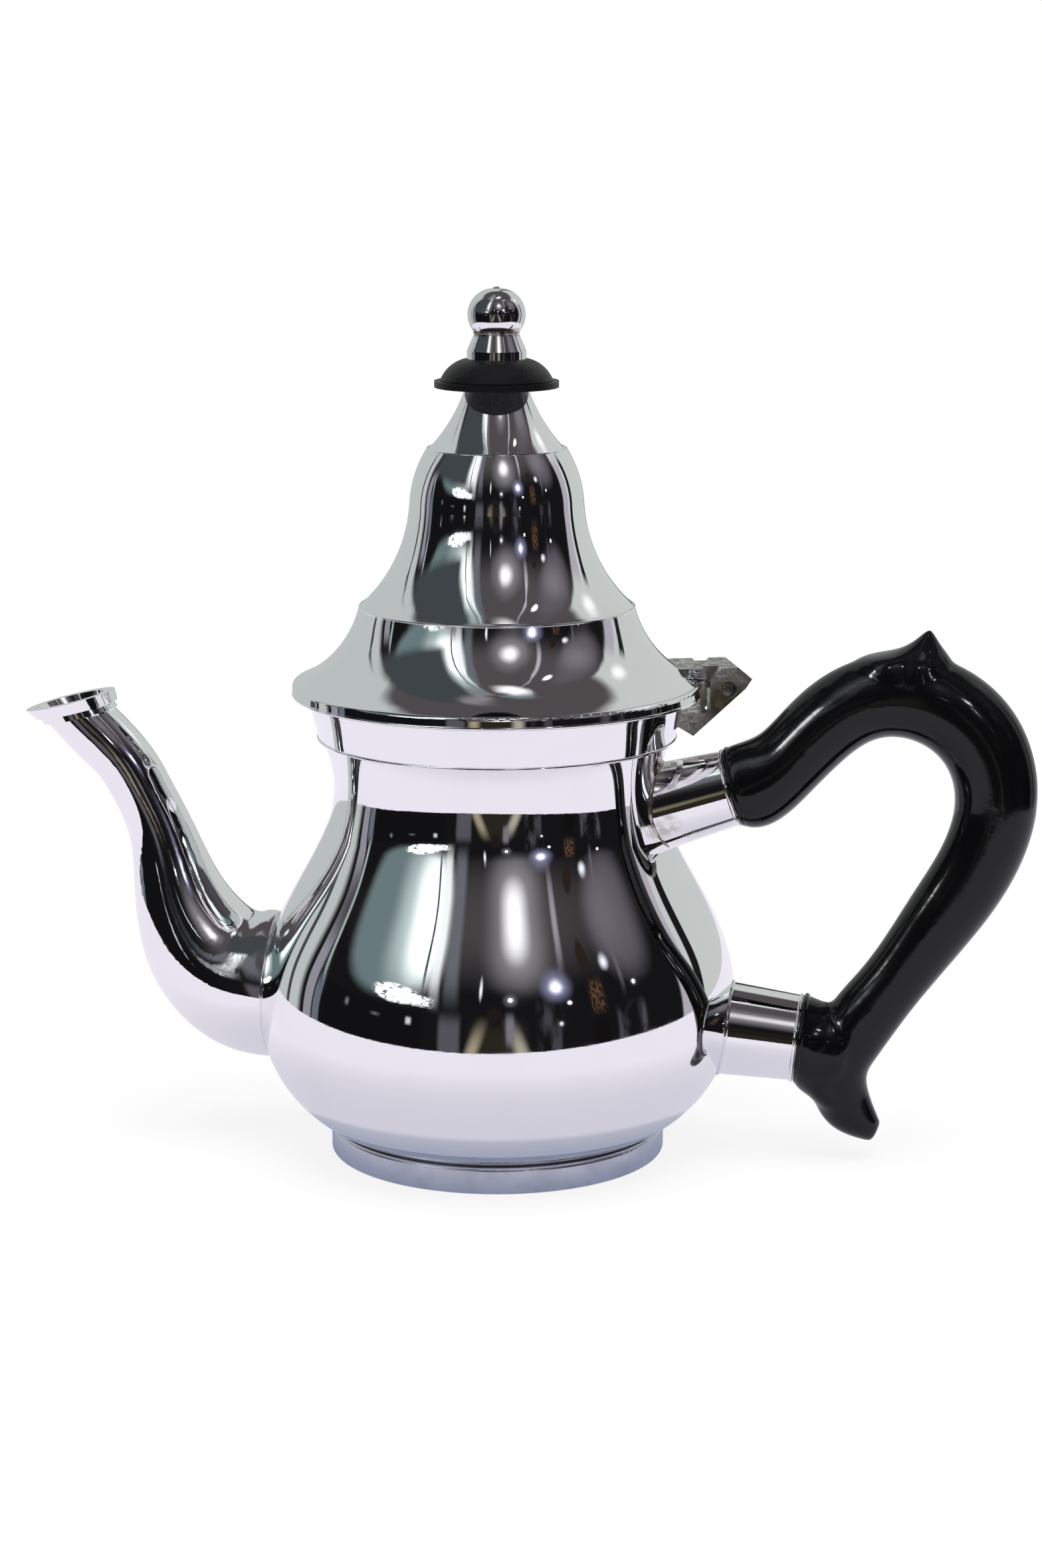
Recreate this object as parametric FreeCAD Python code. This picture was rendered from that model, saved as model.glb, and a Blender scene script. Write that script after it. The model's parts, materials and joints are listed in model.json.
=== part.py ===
import FreeCAD
import Part
import math
import os

from FreeCAD import Vector

# A plated metal tea pot: pear-shaped body on a foot ring, S-curved spout, tiered bell lid on a rear hinge,
# black moulded handle held in two metal sockets, and a finial with a black heat-shield disc.
# Lengths are millimetres and angles degrees. The pot stands on z = 0 around the Z axis, with its spout
# towards -X and its handle and lid hinge towards +X.

# Foot and base
FOOT_RADIUS = 38.9
FOOT_HEIGHT = 6.2
FOOT_WALL = 1.2
FOOT_LEDGE = 4.2
FOOT_TURN_IN = 4.4
FOOT_ROUND = 0.8
BASE_THICKNESS = 1.2

# Body shell, as tangent arcs from the foot over the belly to the neck
BODY_WALL = 1.0
BODY_FOOT_INSET = 1.5
BELLY_RADIUS = 55.5
BELLY_RISE = 28.4
NECK_RADIUS = 37.6
NECK_RISE = 53.4
BULGE_SHARE = 0.57
NECK_FLARE = 2.9
FLARE_RISE = 10.0

# Neck collar
COLLAR_STEP = 0.6
COLLAR_FLARE = 2.6
COLLAR_RISE = 9.6
COLLAR_WALL = 1.4
COLLAR_HOLLOW = 0.25

# Lid shell, from its rim up to the seat of the finial
LID_GAP = 0.3
LID_WALL = 1.0
LID_OVERHANG = 3.2
LID_LIP = 2.9
LID_LIP_ROUND = 0.9
SKIRT_FLARE_RISE = 17.2
SKIRT_TOP_RADIUS = 31.5
SKIRT_FLARE_HOLLOW = 2.6
LOWER_LEDGE = 0.9
LEDGE_RISE = 0.7
BELL_RISE = 22.4
BELL_WAIST_RADIUS = 19.9
BELL_HOLLOW = 2.3
SHOULDER_RISE = 13.0
SHOULDER_RADIUS = 15.9
SHOULDER_BULGE = 0.9
UPPER_LEDGE = 0.6
CROWN_RISE = 13.1
CROWN_RADIUS = 7.3
CROWN_HOLLOW = 0.8

# Lid flange, which seats on the collar and drops a locating skirt into the neck
FLANGE_THICKNESS = 1.0
FLANGE_DROP = 6.0
FLANGE_CLEARANCE = 1.0

# Finial
STUD_RADIUS = 2.0
STUD_CLEARANCE = 0.2
STUD_IN_KNOB = 7.0
STUD_BELOW_NUT = 1.5
DISC_RADIUS = 14.1
DISC_EDGE = 1.4
DISC_BRIM = 1.4
DISC_BRIM_STEP = 0.3
DISC_UNDERCUT = 0.7
DISC_DOME = 4.7
DISC_DOME_BULGE = 1.0
KNOB_BASE_RADIUS = 6.7
KNOB_BASE_HEIGHT = 1.8
KNOB_CONE_HEIGHT = 4.0
KNOB_GROOVE_RADIUS = 4.9
KNOB_BALL_RADIUS = 6.55
KNOB_BALL_RISE = 4.0
KNOB_CAP_RISE = 5.9
KNOB_TIP_RADIUS = 0.6
WASHER_RADIUS = 4.8
WASHER_THICKNESS = 0.8
NUT_ACROSS_FLATS = 7.0
NUT_HEIGHT = 3.2
NUT_SIDES = 6

# Spout: centre line as reach beyond the belly and rise above the belly ring, tapering to its throat
SPOUT_WALL = 1.0
SPOUT_ROOT_RISE = 1.8
SPOUT_ROOT_RADIUS = 17.4
SPOUT_THROAT_RADIUS = 6.9
SPOUT_HOLE_RADIUS = 13.0
SPOUT_ROOT_DEPTH = 9.0
SPOUT_ELBOW_REACH = 12.2
SPOUT_ELBOW_RISE = 8.6
SPOUT_WAIST_REACH = 20.4
SPOUT_WAIST_RISE = 24.6
SPOUT_NECK_REACH = 24.8
SPOUT_NECK_RISE = 40.0
SPOUT_THROAT_REACH = 32.2
SPOUT_THROAT_RISE = 54.4
SPOUT_MOUTH_REACH = 43.0
SPOUT_MOUTH_RISE = 65.5
SPOUT_MOUTH_TILT = 14.0
SPOUT_TAPER_START = 0.03
SPOUT_TAPER_END = 0.74
SPOUT_SECTIONS = 10

# Spout lip: oval ring on the oblique mouth
LIP_BAND_HEIGHT = 1.5
LIP_HEIGHT = 2.6
LIP_BAND_OVERHANG = 0.9
LIP_EDGE_OVERHANG = 2.7
LIP_SHIFT = 1.4

# Spout strainer, soldered inside the body over the spout hole
STRAINER_WALL = 0.8
STRAINER_RADIUS = 16.0
STRAINER_HOLE_RADIUS = 1.3
STRAINER_HOLE_PITCH = 4.6
STRAINER_RINGS = 2
STRAINER_RING_HOLES = 6

# Handle sockets: conical ferrules between body and grip
SOCKET_WALL = 1.0
UPPER_SOCKET_RISE = -5.8
UPPER_SOCKET_TILT = 16.5
UPPER_SOCKET_ROOT_RADIUS = 10.0
UPPER_SOCKET_END_RADIUS = 8.7
UPPER_SOCKET_LENGTH = 17.6
LOWER_SOCKET_RISE = -4.5
LOWER_SOCKET_TILT = -6.0
LOWER_SOCKET_ROOT_RADIUS = 10.7
LOWER_SOCKET_END_RADIUS = 9.9
LOWER_SOCKET_LENGTH = 15.0
SOCKET_PIN_RADIUS = 1.2
SOCKET_PIN_INSET = 4.0
SOCKET_PIN_DEPTH = 5.0

# Handle grip: stations of its centre line, as reach beyond the belly and rise above the belly ring,
# with the half width seen from the side
GRIP_LIP = 0.5
GRIP_TENON_LENGTH = 9.0
GRIP_TENON_ROOT = 3.0
GRIP_TENON_CLEARANCE = 0.1
GRIP_DEPTH_SHARE = 0.94
GRIP_RISER = (11.3, 59.0, 8.9)
GRIP_CROWN = (26.0, 72.4, 9.2)
GRIP_TOP = (40.8, 74.6, 9.8)
GRIP_BACK = (54.1, 66.2, 9.8)
GRIP_HEEL = (58.7, 52.0, 9.4)
GRIP_KNEE = (54.9, 36.8, 9.0)
GRIP_SHANK = (46.7, 23.2, 8.5)
GRIP_WRIST = (34.7, 6.0, 7.6)
GRIP_SPUR = (26.0, -7.2, 7.6)
GRIP_HOCK = (24.7, -18.2, 6.5)
GRIP_TOE = (27.9, -24.4, 5.4)
GRIP_TIP = (33.3, -28.0, 2.7)
GRIP_TIP_TILT = -24.0

# Branch of the grip to the lower socket: reach and drop from the socket's end, with the half width
STUB_WEB = (5.2, 2.7, 11.2)
STUB_ROOT = (11.1, 2.3, 8.6)

# Thumb rest: level sections with a sharp ridge on both flanks, as reach, rise, half length and half width
HORN_ROOT = (39.5, 76.4, 10.5, 8.7)
HORN_SADDLE = (39.3, 84.4, 8.0, 5.6)
HORN_CREST = (41.3, 85.8, 4.9, 4.4)
HORN_PEAK = (42.2, 87.6, 2.8, 3.0)
HORN_TIP = (42.9, 90.3, 0.7, 0.8)

# Lid hinge: two ears on the collar, one leaf on the lid, a pin through both, drawn on the handle's side and
# then turned round the pot by an angle of its own
HINGE_TURN = 17.0
HINGE_OFFSET = 5.9
HINGE_RISE = 0.4
HINGE_WIDTH = 15.0
HINGE_HEAD = 5.1
HINGE_PIN_RADIUS = 1.5
HINGE_PIN_CLEARANCE = 0.05
HINGE_PIN_OVERHANG = 0.4
EAR_THICKNESS = 3.6
EAR_BACK = 3.9
EAR_BACK_RISE = 0.2
EAR_TIP = 5.4
EAR_TIP_RISE = 2.4
EAR_TOP_BACK = 2.2
EAR_FRONT = 4.4
EAR_CHAMFER = 2.6
EAR_FOOT_REACH = 8.3
EAR_FOOT_DROP = 10.5
EAR_FOOT_SLANT = 3.3
WEB_DROP = 5.2
KNUCKLE_GAP = 0.15
KNUCKLE_RADIUS = 3.0
LEAF_LENGTH = 7.4
LEAF_GAP = 1.4

# Radii and heights worked out from the sizes above
BODY_FOOT_RADIUS = FOOT_RADIUS - BODY_FOOT_INSET
NECK_TOP_RADIUS = NECK_RADIUS + NECK_FLARE
COLLAR_FOOT_RADIUS = NECK_TOP_RADIUS + COLLAR_STEP
COLLAR_RADIUS = COLLAR_FOOT_RADIUS + COLLAR_FLARE
LID_RIM_RADIUS = COLLAR_RADIUS + LID_OVERHANG

Z_FOOT = FOOT_HEIGHT
Z_BELLY = Z_FOOT + BELLY_RISE
Z_NECK = Z_BELLY + NECK_RISE
Z_SEAM = Z_NECK + FLARE_RISE
Z_COLLAR = Z_SEAM + COLLAR_RISE
Z_LID = Z_COLLAR + LID_GAP
Z_LIP = Z_LID + LID_LIP
Z_SKIRT = Z_LIP + SKIRT_FLARE_RISE
Z_WAIST = Z_SKIRT + LEDGE_RISE + BELL_RISE
Z_SHOULDER = Z_WAIST + SHOULDER_RISE
Z_CROWN = Z_SHOULDER + CROWN_RISE
Z_DISC = Z_CROWN + DISC_UNDERCUT + DISC_EDGE + DISC_BRIM_STEP + DISC_DOME
Z_GROOVE = Z_DISC + KNOB_BASE_HEIGHT + KNOB_CONE_HEIGHT
Z_WASHER = Z_CROWN - LID_WALL - WASHER_THICKNESS
Z_NUT = Z_WASHER - NUT_HEIGHT

PIN_X = LID_RIM_RADIUS + HINGE_OFFSET
PIN_Z = Z_LID + HINGE_RISE

AXIS = Vector(0, 0, 1)
SIDE = Vector(0, 1, 0)
SECTION_POINTS = 16
SAME_POINT = 1e-6


def at(x, z, y=0.0):
    """Point given by its distance along X, its height and its place across the pot."""
    return Vector(x, y, z)


def line(start, end):
    return Part.LineSegment(start, end).toShape()


def arc_about(centre, radius, start_angle, end_angle):
    """Arc in the XZ plane, with its angles in degrees from +X towards +Z."""
    points = []
    for angle in (start_angle, (start_angle + end_angle) / 2, end_angle):
        turn = math.radians(angle)
        points.append(centre + at(radius * math.cos(turn), radius * math.sin(turn)))
    return Part.Arc(*points).toShape()


def bowed(start, end, bow):
    """Arc between two points of the XZ plane, whose middle stands off the chord to its left by bow."""
    chord = end - start
    left = Vector(-chord.z, 0, chord.x).normalize()
    return Part.Arc(start, (start + end) / 2 + left * bow, end).toShape()


def chain(points):
    return [line(a, b) for a, b in zip(points, points[1:])]


def turned(edges):
    """Solid turned about Z from a closed outline in the XZ plane."""
    face = Part.Face(Part.Wire(Part.__sortEdges__(edges)))
    return face.revolve(Vector(0, 0, 0), AXIS, 360)


def ring(inner_radius, outer_radius, bottom, top):
    corners = [
        at(inner_radius, bottom),
        at(outer_radius, bottom),
        at(outer_radius, top),
        at(inner_radius, top),
    ]
    return turned(chain(corners + corners[:1]))


def plate(outline, width, centre_y=0.0):
    """Plate of the given outline in the XZ plane, of even width across the pot."""
    points = [at(x, z, centre_y - width / 2) for x, z in outline]
    return Part.Face(Part.makePolygon(points + points[:1])).extrude(SIDE * width)


def oval(centre, heading, half_width, half_depth):
    """Closed oval square to a heading in the XZ plane."""
    across = SIDE.cross(heading).normalize()
    points = []
    for i in range(SECTION_POINTS):
        turn = 2 * math.pi * i / SECTION_POINTS
        points.append(centre + across * (half_width * math.cos(turn)) + SIDE * (half_depth * math.sin(turn)))
    curve = Part.BSplineCurve()
    curve.interpolate(Points=points, PeriodicFlag=True)
    return Part.Wire(curve.toShape())


def smooth_path(points, first_heading, last_heading):
    """Curve through the points, leaving and arriving along the given headings."""
    curve = Part.BSplineCurve()
    curve.interpolate(Points=points, InitialTangent=first_heading, FinalTangent=last_heading)
    return curve


def arc_radius(depth, rise):
    """Radius of the arc that leaves upright and moves sideways by depth over a rise."""
    return (depth * depth + rise * rise) / (2 * depth)


def heading(angle):
    """Direction in the XZ plane at an angle from +X towards +Z."""
    turn = math.radians(angle)
    return at(math.cos(turn), math.sin(turn))


def body_solid(inset):
    """Body outline turned solid, with its skin moved inwards by inset."""
    under = arc_radius(BELLY_RADIUS - BODY_FOOT_RADIUS, BELLY_RISE)
    flank = arc_radius(BELLY_RADIUS - NECK_RADIUS, NECK_RISE)
    bulge = flank * BULGE_SHARE
    hollow = flank - bulge
    flare = arc_radius(NECK_FLARE, FLARE_RISE)
    lean = math.degrees(math.asin(NECK_RISE / flank))
    under_turn = math.degrees(math.asin(min(1.0, BELLY_RISE / (under - inset))))
    flare_turn = math.degrees(math.asin(FLARE_RISE / (flare + inset)))
    arcs = [
        arc_about(at(BELLY_RADIUS - under, Z_BELLY), under - inset, -under_turn, 0),
        arc_about(at(BELLY_RADIUS - bulge, Z_BELLY), bulge - inset, 0, lean),
        arc_about(at(NECK_RADIUS + hollow, Z_NECK), hollow + inset, 180 + lean, 180),
        arc_about(at(NECK_RADIUS + flare, Z_NECK), flare + inset, 180, 180 - flare_turn),
    ]
    low, high = arcs[0].Vertexes[0].Point, arcs[-1].Vertexes[-1].Point
    corners = [high, at(0, Z_SEAM), at(0, Z_FOOT), at(low.x, Z_FOOT)]
    if low.z - Z_FOOT > SAME_POINT:
        corners.append(low)
    else:
        corners[-1] = low
    return turned(arcs + chain(corners))


def cross_bar(radius, height, start, end):
    """Round bar along X at a height, from one X to another."""
    return Part.makeCylinder(radius, end - start, at(start, height), Vector(1, 0, 0))


def spout_height():
    return Z_BELLY + SPOUT_ROOT_RISE


def body_shell():
    shell = body_solid(0).cut(body_solid(BODY_WALL))
    return shell.cut(cross_bar(SPOUT_HOLE_RADIUS, spout_height(), -2 * BELLY_RADIUS, 0))


def foot_ring():
    """Channel-shaped ring: a ledge for the body on top and a turned-in edge to stand on."""
    inner = FOOT_RADIUS - FOOT_WALL
    rounded = FOOT_RADIUS - FOOT_ROUND
    edges = [
        line(at(FOOT_RADIUS - FOOT_TURN_IN, 0), at(rounded, 0)),
        arc_about(at(rounded, FOOT_ROUND), FOOT_ROUND, -90, 0),
        line(at(FOOT_RADIUS, FOOT_ROUND), at(FOOT_RADIUS, FOOT_HEIGHT - FOOT_ROUND)),
        arc_about(at(rounded, FOOT_HEIGHT - FOOT_ROUND), FOOT_ROUND, 0, 90),
    ]
    edges += chain([
        at(rounded, FOOT_HEIGHT),
        at(FOOT_RADIUS - FOOT_LEDGE, FOOT_HEIGHT),
        at(FOOT_RADIUS - FOOT_LEDGE, FOOT_HEIGHT - FOOT_WALL),
        at(inner, FOOT_HEIGHT - FOOT_WALL),
        at(inner, FOOT_WALL),
        at(FOOT_RADIUS - FOOT_TURN_IN, FOOT_WALL),
        at(FOOT_RADIUS - FOOT_TURN_IN, 0),
    ])
    return turned(edges)


def base_plate():
    """Floor of the pot, lying on the foot's turned-in edge."""
    return Part.makeCylinder(FOOT_RADIUS - FOOT_WALL, BASE_THICKNESS, at(0, FOOT_WALL))


def collar_skin():
    low = at(COLLAR_FOOT_RADIUS, Z_SEAM)
    high = at(COLLAR_RADIUS, Z_COLLAR)
    return low, high


def neck_collar():
    low, high = collar_skin()
    inward = at(-COLLAR_WALL, 0)
    edges = [
        bowed(low, high, COLLAR_HOLLOW),
        line(high, high + inward),
        bowed(low + inward, high + inward, COLLAR_HOLLOW),
        line(low + inward, low),
    ]
    return turned(edges)


def collar_solid():
    low, high = collar_skin()
    corners = [high, at(0, high.z), at(0, low.z), low]
    return turned([bowed(low, high, COLLAR_HOLLOW)] + chain(corners))


def lid_solid(inset):
    """Lid outline turned solid, with its skin moved inwards and down by inset."""
    move = at(-inset, -inset)
    rim_low = at(LID_RIM_RADIUS - inset, Z_LID)
    rim_high = at(LID_RIM_RADIUS, Z_LIP - LID_LIP_ROUND) + move
    flare_low = at(LID_RIM_RADIUS - LID_LIP_ROUND, Z_LIP) + move
    flare_high = at(SKIRT_TOP_RADIUS, Z_SKIRT) + move
    bell_low = at(SKIRT_TOP_RADIUS - LOWER_LEDGE, Z_SKIRT + LEDGE_RISE) + move
    waist = at(BELL_WAIST_RADIUS, Z_WAIST) + move
    shoulder = at(SHOULDER_RADIUS, Z_SHOULDER) + move
    crown_low = at(SHOULDER_RADIUS - UPPER_LEDGE, Z_SHOULDER) + move
    crown_high = at(CROWN_RADIUS, Z_CROWN) + move
    edges = [
        line(rim_low, rim_high),
        arc_about(at(flare_low.x, rim_high.z), LID_LIP_ROUND, 0, 90),
        bowed(flare_low, flare_high, SKIRT_FLARE_HOLLOW),
        line(flare_high, bell_low),
        bowed(bell_low, waist, BELL_HOLLOW),
        bowed(waist, shoulder, -SHOULDER_BULGE),
        line(shoulder, crown_low),
        bowed(crown_low, crown_high, CROWN_HOLLOW),
    ]
    return turned(edges + chain([crown_high, at(0, crown_high.z), at(0, Z_LID), rim_low]))


def lid_shell():
    """Spun bell, open below, with the hole for the finial stud in its crown."""
    hole = Part.makeCylinder(STUD_RADIUS + STUD_CLEARANCE, Z_CROWN - Z_LID, at(0, Z_LID))
    return lid_solid(0).cut([lid_solid(LID_WALL), hole])


def lid_flange():
    """Seat ring under the lid's rim, with the skirt that keeps the lid over the mouth."""
    outer = LID_RIM_RADIUS - LID_WALL
    skirt = COLLAR_FOOT_RADIUS - COLLAR_WALL - FLANGE_CLEARANCE
    outline = [
        at(outer, Z_LID),
        at(outer, Z_LID + FLANGE_THICKNESS),
        at(skirt - FLANGE_THICKNESS, Z_LID + FLANGE_THICKNESS),
        at(skirt - FLANGE_THICKNESS, Z_LID - FLANGE_DROP),
        at(skirt, Z_LID - FLANGE_DROP),
        at(skirt, Z_LID),
    ]
    return turned(chain(outline + outline[:1]))


def finial_disc():
    """Domed heat shield with a narrow brim, between the lid and the knob."""
    bore = STUD_RADIUS + STUD_CLEARANCE
    edge_low = Z_CROWN + DISC_UNDERCUT
    rim_low, rim_high = at(DISC_RADIUS, edge_low), at(DISC_RADIUS, edge_low + DISC_EDGE)
    brim = at(DISC_RADIUS - DISC_BRIM, rim_high.z)
    dome_low = brim + at(0, DISC_BRIM_STEP)
    dome_top = at(KNOB_BASE_RADIUS, Z_DISC)
    edges = chain([at(bore, Z_CROWN), at(CROWN_RADIUS, Z_CROWN), rim_low, rim_high, brim, dome_low])
    edges.append(bowed(dome_low, dome_top, -DISC_DOME_BULGE))
    edges += chain([dome_top, at(bore, Z_DISC), at(bore, Z_CROWN)])
    return turned(edges)


def finial_knob():
    """Turned knob: a plinth, a cone drawn in to a groove, and a ball with a small flat tip."""
    z_cone = Z_DISC + KNOB_BASE_HEIGHT
    z_ball = Z_GROOVE + KNOB_BALL_RISE
    groove = at(KNOB_GROOVE_RADIUS, Z_GROOVE)
    equator = at(KNOB_BALL_RADIUS, z_ball)
    tip = at(KNOB_TIP_RADIUS, z_ball + KNOB_CAP_RISE)
    lower_ball = arc_radius(KNOB_BALL_RADIUS - KNOB_GROOVE_RADIUS, KNOB_BALL_RISE)
    lower_turn = math.degrees(math.asin(KNOB_BALL_RISE / lower_ball))
    cap = arc_radius(KNOB_CAP_RISE, KNOB_BALL_RADIUS - KNOB_TIP_RADIUS)
    cap_start = math.degrees(math.acos((KNOB_BALL_RADIUS - KNOB_TIP_RADIUS) / cap))
    edges = chain([
        at(STUD_RADIUS, Z_DISC),
        at(KNOB_BASE_RADIUS, Z_DISC),
        at(KNOB_BASE_RADIUS, z_cone),
        groove,
    ])
    edges.append(arc_about(at(KNOB_BALL_RADIUS - lower_ball, z_ball), lower_ball, -lower_turn, 0))
    edges.append(arc_about(at(KNOB_TIP_RADIUS, tip.z - cap), cap, cap_start, 90))
    z_socket = Z_DISC + STUD_IN_KNOB
    edges += chain([tip, at(0, tip.z), at(0, z_socket), at(STUD_RADIUS, z_socket), at(STUD_RADIUS, Z_DISC)])
    return turned(edges)


def finial_stud():
    bottom = Z_NUT - STUD_BELOW_NUT
    return Part.makeCylinder(STUD_RADIUS, Z_DISC + STUD_IN_KNOB - bottom, at(0, bottom))


def finial_washer():
    return ring(STUD_RADIUS + STUD_CLEARANCE, WASHER_RADIUS, Z_WASHER, Z_WASHER + WASHER_THICKNESS)


def finial_nut():
    corner = NUT_ACROSS_FLATS / 2 / math.cos(math.pi / NUT_SIDES)
    turns = [2 * math.pi * i / NUT_SIDES for i in range(NUT_SIDES)]
    points = [Vector(corner * math.cos(turn), corner * math.sin(turn), Z_NUT) for turn in turns]
    points.append(points[0])
    blank = Part.Face(Part.makePolygon(points)).extrude(AXIS * NUT_HEIGHT)
    return blank.cut(Part.makeCylinder(STUD_RADIUS, NUT_HEIGHT, at(0, Z_NUT)))


def spout_path():
    root = at(-(BELLY_RADIUS - SPOUT_ROOT_DEPTH), spout_height())
    stations = [
        (SPOUT_ELBOW_REACH, SPOUT_ELBOW_RISE),
        (SPOUT_WAIST_REACH, SPOUT_WAIST_RISE),
        (SPOUT_NECK_REACH, SPOUT_NECK_RISE),
        (SPOUT_THROAT_REACH, SPOUT_THROAT_RISE),
        (SPOUT_MOUTH_REACH, SPOUT_MOUTH_RISE),
    ]
    points = [root] + [at(-(BELLY_RADIUS + reach), Z_BELLY + rise) for reach, rise in stations]
    last = (points[-1] - points[-2]).normalize()
    return smooth_path(points, Vector(-1, 0, 0), last)


def spout_radius(share):
    """Outer radius of the spout at a share of its length: a raised-cosine taper from root to throat."""
    ramp = (share - SPOUT_TAPER_START) / (SPOUT_TAPER_END - SPOUT_TAPER_START)
    ramp = min(1.0, max(0.0, ramp))
    taper = 0.5 + 0.5 * math.cos(math.pi * ramp)
    return SPOUT_THROAT_RADIUS + (SPOUT_ROOT_RADIUS - SPOUT_THROAT_RADIUS) * taper


def spout_mouth():
    """Centre of the mouth and the direction that it faces."""
    path = spout_path()
    return path.value(path.LastParameter), heading(90 + SPOUT_MOUTH_TILT)


def spout_tube(inset):
    """Solid along the spout's centre line, run a radius past the oblique mouth and cut off at its plane."""
    path = spout_path()
    sections = []
    for i in range(SPOUT_SECTIONS + 1):
        share = i / SPOUT_SECTIONS
        t = path.FirstParameter + share * (path.LastParameter - path.FirstParameter)
        way = path.tangent(t)[0]
        radius = spout_radius(share) - inset
        sections.append(oval(path.value(t), way, radius, radius))
    end, way = path.value(path.LastParameter), path.tangent(path.LastParameter)[0]
    centre, facing = spout_mouth()
    overrun = SPOUT_THROAT_RADIUS * (1 + math.tan(way.getAngle(facing)))
    radius = SPOUT_THROAT_RADIUS - inset
    sections.append(oval(end + way * overrun, way, radius, radius))
    tube = Part.makeLoft(sections, True, False)
    return tube.cut(Part.makeCylinder(2 * overrun, 2 * overrun, centre, facing))


def spout():
    tube = spout_tube(0).cut(spout_tube(SPOUT_WALL))
    return largest(tube.cut(body_solid(0)))


def largest(shape):
    return max(shape.Solids, key=lambda solid: solid.Volume)


def spout_lip():
    """Oval ring on the mouth: a narrow band, then a lip that flares to a thin edge."""
    centre, facing = spout_mouth()
    path = spout_path()
    way = path.tangent(path.LastParameter)[0]
    stretch = 1 / way.dot(facing)

    def mouth_oval(rise, overhang):
        half_depth = SPOUT_THROAT_RADIUS + overhang
        half_width = SPOUT_THROAT_RADIUS * stretch + overhang
        lean = pouring * (LIP_SHIFT * rise / top)
        return oval(centre + facing * rise + lean, facing, half_width, half_depth)

    pouring = heading(180 + SPOUT_MOUTH_TILT)
    top = LIP_BAND_HEIGHT + LIP_HEIGHT
    band_edge = mouth_oval(LIP_BAND_HEIGHT, LIP_BAND_OVERHANG)
    band = Part.makeLoft([mouth_oval(0, LIP_BAND_OVERHANG), band_edge], True, True)
    flare_edge = mouth_oval(LIP_BAND_HEIGHT, (LIP_BAND_OVERHANG + LIP_EDGE_OVERHANG) / 2)
    flare = Part.makeLoft([flare_edge, mouth_oval(top, LIP_EDGE_OVERHANG)], True, True)
    bore = Part.makeLoft([mouth_oval(0, -SPOUT_WALL), mouth_oval(top, 0)], True, True)
    return band.fuse(flare).removeSplitter().cut(bore)


def spout_strainer():
    """Perforated patch on the inside of the wall, over the spout hole."""
    patch = body_solid(BODY_WALL).cut(body_solid(BODY_WALL + STRAINER_WALL))
    z = spout_height()
    patch = patch.common(cross_bar(STRAINER_RADIUS, z, -2 * BELLY_RADIUS, 0))
    holes = [cross_bar(STRAINER_HOLE_RADIUS, z, -2 * BELLY_RADIUS, 0)]
    for k in range(1, STRAINER_RINGS + 1):
        count = STRAINER_RING_HOLES * k
        for i in range(count):
            turn = 2 * math.pi * i / count
            hole = cross_bar(STRAINER_HOLE_RADIUS, z, -2 * BELLY_RADIUS, 0)
            hole.translate(Vector(0, math.cos(turn), math.sin(turn)) * (STRAINER_HOLE_PITCH * k))
            holes.append(hole)
    return largest(patch.cut(Part.makeCompound(holes)))


class Socket:
    """One handle ferrule: where its axis leaves the pot, its slope, and its radii at pot and grip."""

    def __init__(self, start, tilt, root_radius, end_radius, length):
        self.start = start
        self.way = heading(tilt)
        self.root_radius = root_radius
        self.end_radius = end_radius
        self.length = length
        self.end = start + self.way * length
        self.bore = end_radius - SOCKET_WALL
        self.pin_way = -self.way.cross(SIDE).normalize()

    def ferrule(self):
        """Ferrule cut to the pot's skin, with its bore and its pin hole."""
        back = self.root_radius
        slope = (self.end_radius - self.root_radius) / self.length
        cone = Part.makeCone(self.root_radius - slope * back, self.end_radius, self.length + back,
                             self.start - self.way * back, self.way)
        bore = Part.makeCylinder(self.bore, self.length + back, self.start - self.way * back, self.way)
        return largest(cone.cut(bore).cut(body_solid(0)).cut(self.pin()))

    def tenon(self):
        """Round end of the grip, inside the ferrule and rooted in the bow."""
        return Part.makeCylinder(self.bore - GRIP_TENON_CLEARANCE, GRIP_TENON_LENGTH + GRIP_TENON_ROOT,
                                 self.end - self.way * GRIP_TENON_LENGTH, self.way)

    def pin(self):
        """Pin driven into the tenon from below the ferrule."""
        base = self.end - self.way * SOCKET_PIN_INSET
        outer = self.root_radius
        inner = self.bore - SOCKET_PIN_DEPTH
        return Part.makeCylinder(SOCKET_PIN_RADIUS, outer - inner, base + self.pin_way * inner, self.pin_way)


def upper_socket():
    start = at(NECK_RADIUS, Z_NECK + UPPER_SOCKET_RISE)
    return Socket(start, UPPER_SOCKET_TILT, UPPER_SOCKET_ROOT_RADIUS, UPPER_SOCKET_END_RADIUS,
                  UPPER_SOCKET_LENGTH)


def lower_socket():
    start = at(BELLY_RADIUS, Z_BELLY + LOWER_SOCKET_RISE)
    return Socket(start, LOWER_SOCKET_TILT, LOWER_SOCKET_ROOT_RADIUS, LOWER_SOCKET_END_RADIUS,
                  LOWER_SOCKET_LENGTH)


def beyond_belly(reach, rise):
    """Point on the handle's side of the pot, from the belly's skin and the height of its ring."""
    return at(BELLY_RADIUS + reach, Z_BELLY + rise)


def lens(centre, half_length, half_width):
    """Level outline of two arcs along X, which meet in a point on either side."""
    sides = [centre - SIDE * half_width, centre + SIDE * half_width]
    arcs = [Part.Arc(sides[0], centre + at(half_length, 0), sides[1]).toShape(),
            Part.Arc(sides[1], centre - at(half_length, 0), sides[0]).toShape()]
    return Part.Wire(arcs)


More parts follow.
